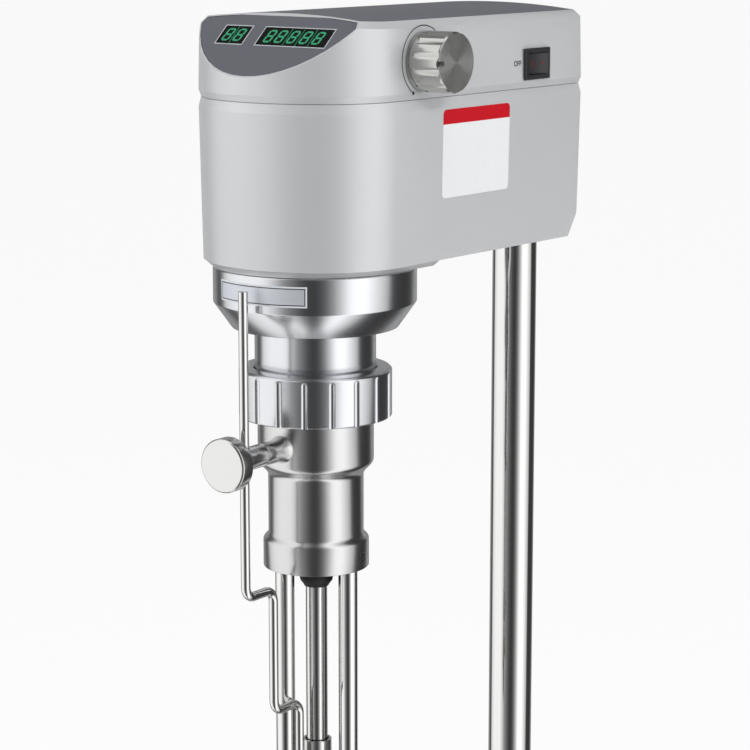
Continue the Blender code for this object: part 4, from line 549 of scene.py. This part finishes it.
# Mains inlet: a moulded socket flange in the back, left of the column, with three plated pins
# standing in it.
wear(refined("power_inlet", 0.0003), moulded_black, "head", "black_plastic", "power_inlet")
plated = machined("plated_pin_brass", (0.62, 0.58, 0.48), 0.2)
INLET_MIDDLE = Vector((-0.047, 0.1061, 0.6348))
PIN_PITCH, PIN_RISE = 0.007, 0.002
PIN_SIZE = (0.00206, 0.0131, 0.00406, 1.0)
pins = bmesh.new()
for number in (-1, 0, 1):
    rise = -PIN_RISE if number else PIN_RISE
    spot = Matrix.Translation(INLET_MIDDLE + Vector((number * PIN_PITCH, 0.0, rise)))
    bmesh.ops.create_cube(pins, size=1.0, matrix=spot @ Matrix.Diagonal(PIN_SIZE))
bmesh.ops.bevel(pins, geom=list(pins.edges), offset=0.0002, segments=2, profile=0.5, affect="EDGES",
                material=-1)
wear(finished("inlet_pins", pins), plated, "head", "brushed_steel")


# Motor and drive inside the head: a steel frame with an aluminium end cap, two ball bearings,
# the armature with its fan, and a tongued coupling down to the mixing shaft. None of it shows.
core_steel = machined("laminated_core_steel", (0.35, 0.35, 0.36), 0.4)
bearing_steel = polished_steel("ground_bearing_steel", (30.0, 30.0, 2000.0), 0.15)
carried_over(core_steel, "motor_frame", "motor_armature")
carried_over(milled_aluminium, "motor_end_cap")
carried_over(bearing_steel, "lower_motor_bearing", "upper_motor_bearing", "shaft_bearing")
carried_over(moulded_black, "cooling_fan")
carried_over(screw_steel, "motor_coupling", "shaft_coupling")


# Mounting collar: turned from one aluminium bar, a plain rim, a cone and a straight neck, and
# drawn up against the underside of the housing. A bare silver plate is stuck round its front.
MIXING_Y = -0.075
on_axis = Matrix.Translation((0.0, MIXING_Y, 0.0))


def turned_metal(name, colour, roughness, pitch=0.00035, depth=0.000004):
    """Lathe-turned metal on the mixing axis: rings that follow radius and height."""
    finish = Finish(name, colour, roughness, 1.0)
    radius = finish.length(finish.place(centre=(0.0, MIXING_Y, 0.0), scale=(1.0, 1.0, 0.0)))
    height = finish.part(finish.place(), "Z")
    along = finish.node("ShaderNodeCombineXYZ", None, {0: radius, 1: height})
    rings = finish.noise(along, 1.0 / pitch, 3.0)
    slow = finish.noise(along, 60.0, 2.0)
    finish.feed("Roughness", roughness - 0.04 + 0.07 * rings + 0.01 * slow)
    finish.feed("Base Color", finish.mix(slow, shade(colour, 0.98), shade(colour, 1.02)))
    finish.bump(rings, depth, 0.6)
    return finish


turned_aluminium = turned_metal("turned_collar_aluminium", (0.62, 0.63, 0.65), 0.20)
collar = turned_bmesh([(0.045, 0.5825), (0.045, 0.5757), (0.0624, 0.5757), (0.063, 0.5745), (0.063, 0.5536),
                       (0.0517, 0.5376), (0.0377, 0.5376), (0.0377, 0.4996), (0.019, 0.4996), (0.019, 0.5376),
                       (0.035, 0.5536), (0.035, 0.5825)], 180, 0.0004)
wear(finished("mounting_collar_finished", placed(collar, on_axis)), turned_aluminium, "head",
     "turned_aluminium", "mounting_collar")

PLATE_LOW, PLATE_HIGH = 0.5582, 0.5708
PLATE_FROM, PLATE_TO = math.radians(-24.5), math.radians(35.0)
PLATE_RADIUS = 0.0631
plate_print = Finish("bare_silver_plate", (0.60, 0.61, 0.63), 0.35)
spot = plate_print.place(centre=(0.0, MIXING_Y, 0.0))
bearing = plate_print.node("ShaderNodeMath", {"operation": "ARCTAN2"},
                           {0: plate_print.part(spot, "X"), 1: 0.0 - plate_print.part(spot, "Y")})
sideways = (bearing - (PLATE_FROM + PLATE_TO) / 2).maths("ABSOLUTE")
up_and_down = (plate_print.part(spot, "Z") - (PLATE_LOW + PLATE_HIGH) / 2).maths("ABSOLUTE")
from_end = ((PLATE_TO - PLATE_FROM) / 2 - sideways) * PLATE_RADIUS
from_edge = (PLATE_HIGH - PLATE_LOW) / 2 - up_and_down
inward = from_end.maths("MINIMUM", from_edge)
inside = inward.between(0.00160, 0.00170)
line = inward.between(0.00095, 0.00105) * (1.0 - inside)
brushed = plate_print.noise(plate_print.place(scale=(60.0, 60.0, 2500.0)), 1.0, 2.0)
silver = plate_print.mix(brushed, (0.56, 0.58, 0.63, 1.0), (0.64, 0.66, 0.71, 1.0))
ground = plate_print.mix(inside, (0.70, 0.74, 0.78, 1.0), silver)
plate_print.feed("Base Color", plate_print.mix(line, ground, (0.03, 0.03, 0.03, 1.0)))
plate_print.feed("Metallic", inside * 0.3)
plate_print.feed("Roughness", 0.29 + 0.10 * brushed)
plate = bmesh.new()
side = [plate.verts.new((PLATE_RADIUS + 0.00005, 0.0, height)) for height in (PLATE_LOW, PLATE_HIGH)]
edge = plate.edges.new(side)
bmesh.ops.spin(plate, geom=side + [edge], cent=(0, 0, 0), axis=(0, 0, 1), angle=PLATE_TO - PLATE_FROM,
               steps=48)
placed(plate, Matrix.Rotation(PLATE_FROM - math.pi / 2, 4, "Z"), on_axis)
bmesh.ops.recalc_face_normals(plate, faces=plate.faces)
if plate.faces[0].normal.y > 0:
    bmesh.ops.reverse_faces(plate, faces=plate.faces)
bmesh.ops.solidify(plate, geom=list(plate.faces), thickness=0.00018)
bmesh.ops.recalc_face_normals(plate, faces=plate.faces)
wear(finished("collar_plate", plate), plate_print, "head", "turned_aluminium")


# Union ring: a heavy aluminium nut with eighteen finger flutes that end in round tops below its
# chamfer. It draws the bell's lug up against the neck.
def cut_from(piece, cutters):
    """The piece with the cutters taken out, as one finished mesh."""
    name = piece.name
    change = piece.modifiers.new("cut", "BOOLEAN")
    change.solver = "EXACT"
    change.object = cutters
    mesh = bpy.data.meshes.new_from_object(piece.evaluated_get(bpy.context.evaluated_depsgraph_get()))
    bpy.data.objects.remove(piece)
    bpy.data.objects.remove(cutters)
    bm = bmesh.new()
    bm.from_mesh(mesh)
    bpy.data.meshes.remove(mesh)
    return finished(name, bm, 32.0)


ring_metal = turned_metal("turned_ring_aluminium", (0.62, 0.63, 0.65), 0.22)
RING_RADIUS = 0.0477
nut = turned_bmesh([(0.0397, 0.5126), (0.0461, 0.5119), (RING_RADIUS, 0.5103), (RING_RADIUS, 0.4819),
                    (0.0469, 0.4811), (0.0368, 0.4811), (0.0368, 0.4930), (0.0381, 0.4930), (0.0381, 0.5110)],
                   192, 0.0003)
FLUTES = 18
FIRST_FLUTE = math.radians(11.1)
FLUTE_RADIUS, FLUTE_DEPTH = 0.0026, 0.0015
FLUTE_LOW, FLUTE_HIGH = 0.4761, 0.5078
dome = []
for step in range(9):
    lean = math.radians(10 * step)
    dome.append((FLUTE_RADIUS * math.sin(lean), FLUTE_HIGH + FLUTE_RADIUS * math.cos(lean)))
cutter_side = dome + [(FLUTE_RADIUS, FLUTE_HIGH), (FLUTE_RADIUS, FLUTE_LOW), (0.0, FLUTE_LOW)]
flutes = bmesh.new()
for number in range(FLUTES):
    flute = turned_bmesh(cutter_side, 32, closed=False)
    placed(flute, Matrix.Translation((0.0, -RING_RADIUS - FLUTE_RADIUS + FLUTE_DEPTH, 0.0)),
           Matrix.Rotation(FIRST_FLUTE + math.tau * number / FLUTES, 4, "Z"))
    mesh = bpy.data.meshes.new("flute")
    flute.to_mesh(mesh)
    flute.free()
    flutes.from_mesh(mesh)
    bpy.data.meshes.remove(mesh)
ring_piece = finished("union_ring_finished", placed(nut, on_axis))
ring_piece = cut_from(ring_piece, finished("ring_flutes", placed(flutes, on_axis)))
wear(ring_piece, ring_metal, "union", "turned_aluminium", "union_ring")


# Bell: turned stainless steel with a lug inside the ring, a soft S down to a slimmer waist and a
# flared foot that takes the rods. A trumpet-shaped boss for the rod clamp is welded on its side.
bell_steel = turned_metal("brushed_bell_steel", (0.56, 0.56, 0.56), 0.22, 0.0003, 0.000005)


def ease(start, end, steps=14):
    """Points of a soft S between two profile points."""
    points = []
    for step in range(1, steps):
        share = step / steps
        points.append((start[0] + (end[0] - start[0]) * (1 - math.cos(math.pi * share)) / 2,
                       start[1] + (end[1] - start[1]) * share))
    return points


rim, waist, waist_end, flare = (0.0363, 0.4537), (0.0299, 0.4436), (0.0299, 0.4074), (0.0332, 0.4019)
lug = [(0.0377, 0.4993), (0.0377, 0.4933), (0.0363, 0.4933)]
foot_and_bore = [(0.0332, 0.3851), (0.0106, 0.3851), (0.0106, 0.4056), (0.0163, 0.4056), (0.0163, 0.4161),
                 (0.024, 0.4161), (0.024, 0.4993)]
outside = lug + [rim] + ease(rim, waist) + [waist, waist_end] + ease(waist_end, flare) + [flare]
bell = turned_bmesh(outside + foot_and_bore, 180, 0.0006)
wear(finished("bell_housing_finished", placed(bell, on_axis)), bell_steel, "head", "brushed_steel",
     "bell_housing")

STUD_ANGLE = math.radians(2.5)
STUD_Z = 0.4650
STUD_RADIUS = 0.0071
TRUMPET_FLARE, TRUMPET_FROM, TRUMPET_LENGTH = 0.0016, 0.0483, 0.0120
along_stud = (Matrix.Translation((0.0, MIXING_Y, STUD_Z)) @ Matrix.Rotation(STUD_ANGLE, 4, "Z")
              @ Matrix.Rotation(math.pi / 2, 4, "X"))
satin_steel = polished_steel("satin_clamp_steel", (700.0, 700.0, 700.0), 0.2)
trumpet = [(0.0, 0.0560), (STUD_RADIUS, 0.0560), (STUD_RADIUS, TRUMPET_FROM)]
for step in range(1, 13):
    share = step / 12
    trumpet.append((STUD_RADIUS + TRUMPET_FLARE * share ** 3, TRUMPET_FROM - TRUMPET_LENGTH * share))
trumpet += [(0.0092, 0.0345), (0.0, 0.0345)]
boss = placed(turned_bmesh(trumpet, 72, 0.0002, closed=False), along_stud)
wear(finished("clamp_boss", boss), satin_steel, "head", "brushed_steel")

SET_SCREW_ANGLE = math.radians(99.35)
outward = Vector((math.sin(SET_SCREW_ANGLE), -math.cos(SET_SCREW_ANGLE), 0.0))
screw = socket_screw(0.0026, 0.0004, 0.003, 0.0020, 0.0014)
turn = Vector((0, 0, 1)).rotation_difference(outward).to_matrix().to_4x4()
spot = Matrix.Translation(Vector((0, MIXING_Y, 0.3926)) + outward * 0.0330)
wear(finished("bell_set_screw", placed(screw, turn, spot)), screw_steel, "head", "brushed_steel", "set_screw")


# Lip seal: black rubber round the shaft, pressed into the bell, with a wide round lobe under it
# that tapers down on to the shaft.
SHAFT_BORE = 0.0073
seal = turned_bmesh([(0.0103, 0.3951), (0.0103, 0.3830), (0.0094, 0.3805), (0.0101, 0.3782), (0.0105, 0.3764),
                     (0.0101, 0.3747), (0.0090, 0.3734), (0.0082, 0.3723), (0.0077, 0.3712),
                     (SHAFT_BORE, 0.3712), (SHAFT_BORE, 0.3951)], 96, 0.0004)
wear(finished("shaft_seal_finished", placed(seal, on_axis)), rubber, "head", "black_rubber", "shaft_seal")


# Mixing unit: three polished rods from the bell to a round holder with a bronze bush, and a
# slotted stator under it, all in stainless steel.
rod_steel = polished_steel("polished_rod_steel", (900.0, 900.0, 25.0), 0.09)
ROD_RADIUS = 0.006
for number in range(3):
    node = "support_rod_" + str(number + 1)
    low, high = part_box(node)
    rod = turned_bmesh([(0.0, high.z), (ROD_RADIUS, high.z), (ROD_RADIUS, low.z), (0.0, low.z)], 72, 0.0004,
                       closed=False)
    middle = (low + high) / 2
    wear(finished(node + "_finished", placed(rod, Matrix.Translation((middle.x, middle.y, 0.0)))), rod_steel,
         "head", "polished_steel", node)
wear(refined("stator_holder", 0.0), satin_steel, "head", "polished_steel", "stator_holder")
bush = turned_bmesh([(0.0120, 0.2092), (0.0120, 0.2067), (0.0100, 0.2067), (0.0100, 0.1972),
                     (SHAFT_BORE, 0.1972), (SHAFT_BORE, 0.2092)], 72, 0.0003)
wear(finished("shaft_bush_finished", placed(bush, on_axis)), bronze, "head", "bearing_bronze", "shaft_bush")
wear(refined("stator", 0.0002), satin_steel, "head", "polished_steel", "stator")


# Drive shaft and rotor: a ground stainless shaft down through the seal and the bush, stepped for
# a four-bladed rotor that runs close inside the stator.
SHAFT_RADIUS, STEP_RADIUS = 0.0068, 0.0040
shaft = turned_bmesh([(0.0, 0.4930), (SHAFT_RADIUS, 0.4930), (SHAFT_RADIUS, 0.1894), (STEP_RADIUS, 0.1894),
                      (STEP_RADIUS, 0.1721), (0.0, 0.1721)], 72, 0.0003, closed=False)
wear(finished("drive_shaft_finished", placed(shaft, on_axis)), rod_steel, "spindle", "polished_steel",
     "drive_shaft")
wear(refined("rotor", 0.0002), satin_steel, "spindle", "polished_steel", "rotor")


# Baffle: a thin round plate with a sleeve on the shaft, hung on a bent rod that runs up beside
# the bell to its clamp.
wear(refined("baffle_plate", 0.0002), satin_steel, "baffle", "polished_steel", "baffle_plate")
ROD_REACH, MIDDLE_REACH, LOWER_REACH = 0.0716, 0.0444, 0.0187
corners = [Vector((ROD_REACH, 0.5674)), Vector((ROD_REACH, 0.3782)), Vector((MIDDLE_REACH, 0.3782)),
           Vector((MIDDLE_REACH, 0.2992)), Vector((LOWER_REACH, 0.2992)), Vector((LOWER_REACH, 0.2456))]
BEND = 0.0075
BEND_STEPS = 14
path = [corners[0]]
for before, corner, after in zip(corners, corners[1:], corners[2:]):
    back = (before - corner).normalized() * BEND
    on = (after - corner).normalized() * BEND
    for step in range(BEND_STEPS + 1):
        turned = math.pi / 2 * step / BEND_STEPS
        path.append(corner + back * (1 - math.sin(turned)) + on * (1 - math.cos(turned)))
path.append(corners[-1])
wire = bpy.data.curves.new("bent_rod", "CURVE")
wire.dimensions = "3D"
wire.bevel_depth = 0.0029
wire.bevel_resolution = 8
wire.use_fill_caps = True
spline = wire.splines.new("POLY")
spline.points.add(len(path) - 1)
for target, (radius, height) in zip(spline.points, path):
    target.co = (radius * math.sin(STUD_ANGLE), MIXING_Y - radius * math.cos(STUD_ANGLE), height, 1.0)
drawn = bpy.data.objects.new("bent_rod_curve", wire)
bpy.context.scene.collection.objects.link(drawn)
bm = bmesh.new()
bm.from_mesh(drawn.evaluated_get(bpy.context.evaluated_depsgraph_get()).to_mesh())
bpy.data.objects.remove(drawn)
bmesh.ops.remove_doubles(bm, verts=bm.verts, dist=0.000005)
bmesh.ops.recalc_face_normals(bm, faces=bm.faces)
wire_steel = polished_steel("drawn_wire_steel", (700.0, 700.0, 30.0), 0.1)
wear(finished("baffle_rod_finished", bm, 40.0), wire_steel, "baffle", "polished_steel", "baffle_rod")


# Rod clamp: a sleeve on the boss that the bent rod passes through, and a large turned knob whose
# screw presses on the rod.
through = turned_bmesh([(0.0, 0.0828), (STUD_RADIUS, 0.0828), (STUD_RADIUS, 0.0563), (0.0041, 0.0563),
                        (0.0041, 0.0483), (0.0, 0.0483)], 72, 0.0003, closed=False)
PASSAGE_RADIUS = 0.0032
rod_place = Vector((ROD_REACH * math.sin(STUD_ANGLE), MIXING_Y - ROD_REACH * math.cos(STUD_ANGLE), STUD_Z))
passage = bmesh.new()
bmesh.ops.create_cone(passage, cap_ends=True, segments=48, radius1=PASSAGE_RADIUS, radius2=PASSAGE_RADIUS,
                      depth=0.03, matrix=Matrix.Translation(rod_place))
sleeve = finished("clamp_sleeve_finished", placed(through, along_stud))
sleeve = cut_from(sleeve, finished("rod_passage", passage))
wear(sleeve, satin_steel, "head", "polished_steel", "clamp_sleeve")
knob_face = Finish("faced_clamp_steel", (0.62, 0.62, 0.61), 0.24, 1.0)
radius = knob_face.length(knob_face.place(centre=(0.0, 0.0, STUD_Z), scale=(1.0, 0.0, 1.0)))
rings = knob_face.noise(knob_face.node("ShaderNodeCombineXYZ", None, {0: radius}), 2600.0, 2.0)
knob_face.feed("Roughness", 0.17 + 0.09 * rings)
knob_face.bump(rings, 0.000006, 0.6)
head = turned_bmesh([(0.0, 0.0935), (0.0155, 0.0935), (0.0165, 0.0925), (0.0165, 0.0841), (0.0155, 0.0831),
                     (0.0038, 0.0831), (0.0038, 0.0748), (0.0, 0.0748)], 128, 0.0003, closed=False)
wear(finished("rod_clamp_knob_finished", placed(head, along_stud)), knob_face, "rod_clamp",
     "polished_steel", "rod_clamp_knob")


# Service sticker: a white printed label with rounded corners and a red header, stuck flat on the
# side of the housing and left blank.
STICKER_Y, STICKER_Z = -0.0019, 0.6445
STICKER_LONG, STICKER_HIGH, STICKER_THICK = 0.0698, 0.0540, 0.00012
STICKER_SPLIT = 0.6625
BODY_TOP = 0.6730
BODY_LEAN = -math.atan(0.0018 / 0.0932)
sticker_print = Finish("blank_service_sticker", (0.78, 0.79, 0.80), 0.3)
height = sticker_print.part(sticker_print.place(), "Z")
header = height.between(STICKER_SPLIT - 0.00005, STICKER_SPLIT + 0.00005)
fibre = sticker_print.noise(sticker_print.place(), 500.0, 2.0)
paper = sticker_print.mix(fibre, (0.74, 0.75, 0.76, 1.0), (0.80, 0.81, 0.82, 1.0))
sticker_print.feed("Base Color", sticker_print.mix(header, paper, (0.52, 0.002, 0.010, 1.0)))
sticker_print.feed("Roughness", 0.29 + 0.06 * fibre)
sticker = bmesh.new()
bmesh.ops.create_cube(sticker, size=1.0,
                      matrix=Matrix.Diagonal((STICKER_LONG, STICKER_HIGH, STICKER_THICK, 1.0)))
corners = [line for line in sticker.edges if line.calc_length() < 2 * STICKER_THICK]
bmesh.ops.bevel(sticker, geom=corners, offset=0.0030, segments=8, profile=0.5, affect="EDGES", material=-1)
sticker_plane = WALL_X + (BODY_TOP - STICKER_Z) * math.tan(BODY_LEAN) + 0.00008
placed(sticker, on_side(STICKER_Y, STICKER_Z, sticker_plane, BODY_LEAN))
wear(finished("side_sticker", sticker), sticker_print, "head", "pale_grey_paint")


# Studio: a white paper floor and white surroundings, soft lamps from the left, the right, the
# side and above, and dark flags between bright panels for the metal to mirror.
CAMERA_AZIMUTH = math.radians(37.96)
FLOOR_GLOW = 0.92
ROOM_LEVEL = 0.39
PANEL_STRENGTH = 1.7
floor_mesh = bmesh.new()
bmesh.ops.create_grid(floor_mesh, x_segments=1, y_segments=1, size=30.0)
floor = finished("studio_floor", floor_mesh)
floor.visible_glossy = False
paper_white = Finish("white_paper_floor", (0.9, 0.9, 0.9), 0.9)
seen = paper_white.node("ShaderNodeLightPath", out="Is Camera Ray")
sheet = paper_white.node("ShaderNodeEmission", None, {"Color": (1.0, 1.0, 1.0, 1.0), "Strength": 1.0})
matt = Value(paper_white, paper_white.shader.outputs[0])
blended = paper_white.node("ShaderNodeMixShader", None, {0: seen * FLOOR_GLOW, 1: matt, 2: sheet})
paper_white.feed_into(paper_white.tree.nodes["Material Output"], {"Surface": blended})
floor.data.materials.append(paper_white.material)

# Degrees to the right of the camera, counted round the object, and how bright it is there.
BANDS = ((-180, 0.20), (-150, 0.22), (-140, 0.06), (-128, 0.06), (-118, 0.62), (-95, 0.80), (-60, 0.80),
         (-45, 0.50), (-34, 0.22), (-14, 0.06), (0, 0.03), (11, 0.07), (20, 0.20), (30, 0.50), (42, 0.95),
         (60, 1.00), (75, 0.70), (92, 0.40), (96, 0.04), (125, 0.03), (138, 0.05), (150, 0.20))
studio = bpy.data.worlds.new("white_studio")
studio.use_nodes = True
bpy.context.scene.world = studio
walls = Nodes(studio.node_tree)
outward = walls.node("ShaderNodeTexCoord", out="Generated")
bearing = walls.part(outward, "X").maths("ARCTAN2", walls.part(outward, "Y") * -1.0)
share = (bearing * (1 / math.tau) + (0.5 - CAMERA_AZIMUTH / math.tau)).maths("FRACT")
stops = [(degrees / 360 + 0.5, brightness) for degrees, brightness in BANDS]
bands = walls.node("ShaderNodeValToRGB", {"stops": stops}, {0: share})
mirrored = walls.node("ShaderNodeBackground", None, {"Color": bands, "Strength": PANEL_STRENGTH})
level = walls.node("ShaderNodeLightPath", out="Is Camera Ray") * (1.0 - ROOM_LEVEL) + ROOM_LEVEL
plain = walls.node("ShaderNodeBackground", None, {"Color": (1.0, 1.0, 1.0, 1.0), "Strength": level})
chosen = walls.node("ShaderNodeMixShader", None,
                    {0: walls.node("ShaderNodeLightPath", out="Is Glossy Ray"), 1: plain, 2: mirrored})
walls.feed_into(walls.tree.nodes["World Output"], {"Surface": chosen})


def soft_lamp(name, spot, target, size, power):
    lamp = bpy.data.lights.new(name, "AREA")
    lamp.shape = "RECTANGLE"
    lamp.size, lamp.size_y = size
    lamp.energy = power
    stand = bpy.data.objects.new(name, lamp)
    stand.location = spot
    stand.rotation_euler = (Vector(target) - Vector(spot)).to_track_quat("-Z", "Y").to_euler()
    stand.visible_glossy = False
    bpy.context.scene.collection.objects.link(stand)


soft_lamp("left_lamp", (-1.6, -1.5, 1.3), (0.0, -0.05, 0.55), (1.0, 1.6), 26.0)
soft_lamp("right_lamp", (2.0, -0.9, 1.7), (0.0, 0.0, 0.6), (0.5, 0.5), 14.0)
soft_lamp("side_lamp", (2.07, 0.75, 0.9), (0.0, 0.0, 0.6), (1.2, 1.2), 19.0)
soft_lamp("top_lamp", (0.2, -0.4, 2.2), (0.0, 0.0, 0.6), (1.2, 1.2), 6.0)

FOCAL_PIXELS = 2549.0
HORIZON_ABOVE_MIDDLE = 484.0
lens = bpy.data.cameras.new("photograph_camera")
lens.lens = 122.35
lens.sensor_width = 36.0
lens.shift_x = -0.0019
lens.clip_end = 200.0
camera = bpy.data.objects.new("photograph_camera", lens)
camera.location = (0.98757, -1.27926, 0.8016)
pitch = math.atan(HORIZON_ABOVE_MIDDLE / FOCAL_PIXELS)
forward = Vector((-math.sin(CAMERA_AZIMUTH), math.cos(CAMERA_AZIMUTH), -math.tan(pitch)))
camera.rotation_euler = forward.to_track_quat("-Z", "Y").to_euler()
bpy.context.scene.collection.objects.link(camera)
bpy.context.scene.camera = camera
bpy.context.scene.view_settings.view_transform = "Standard"
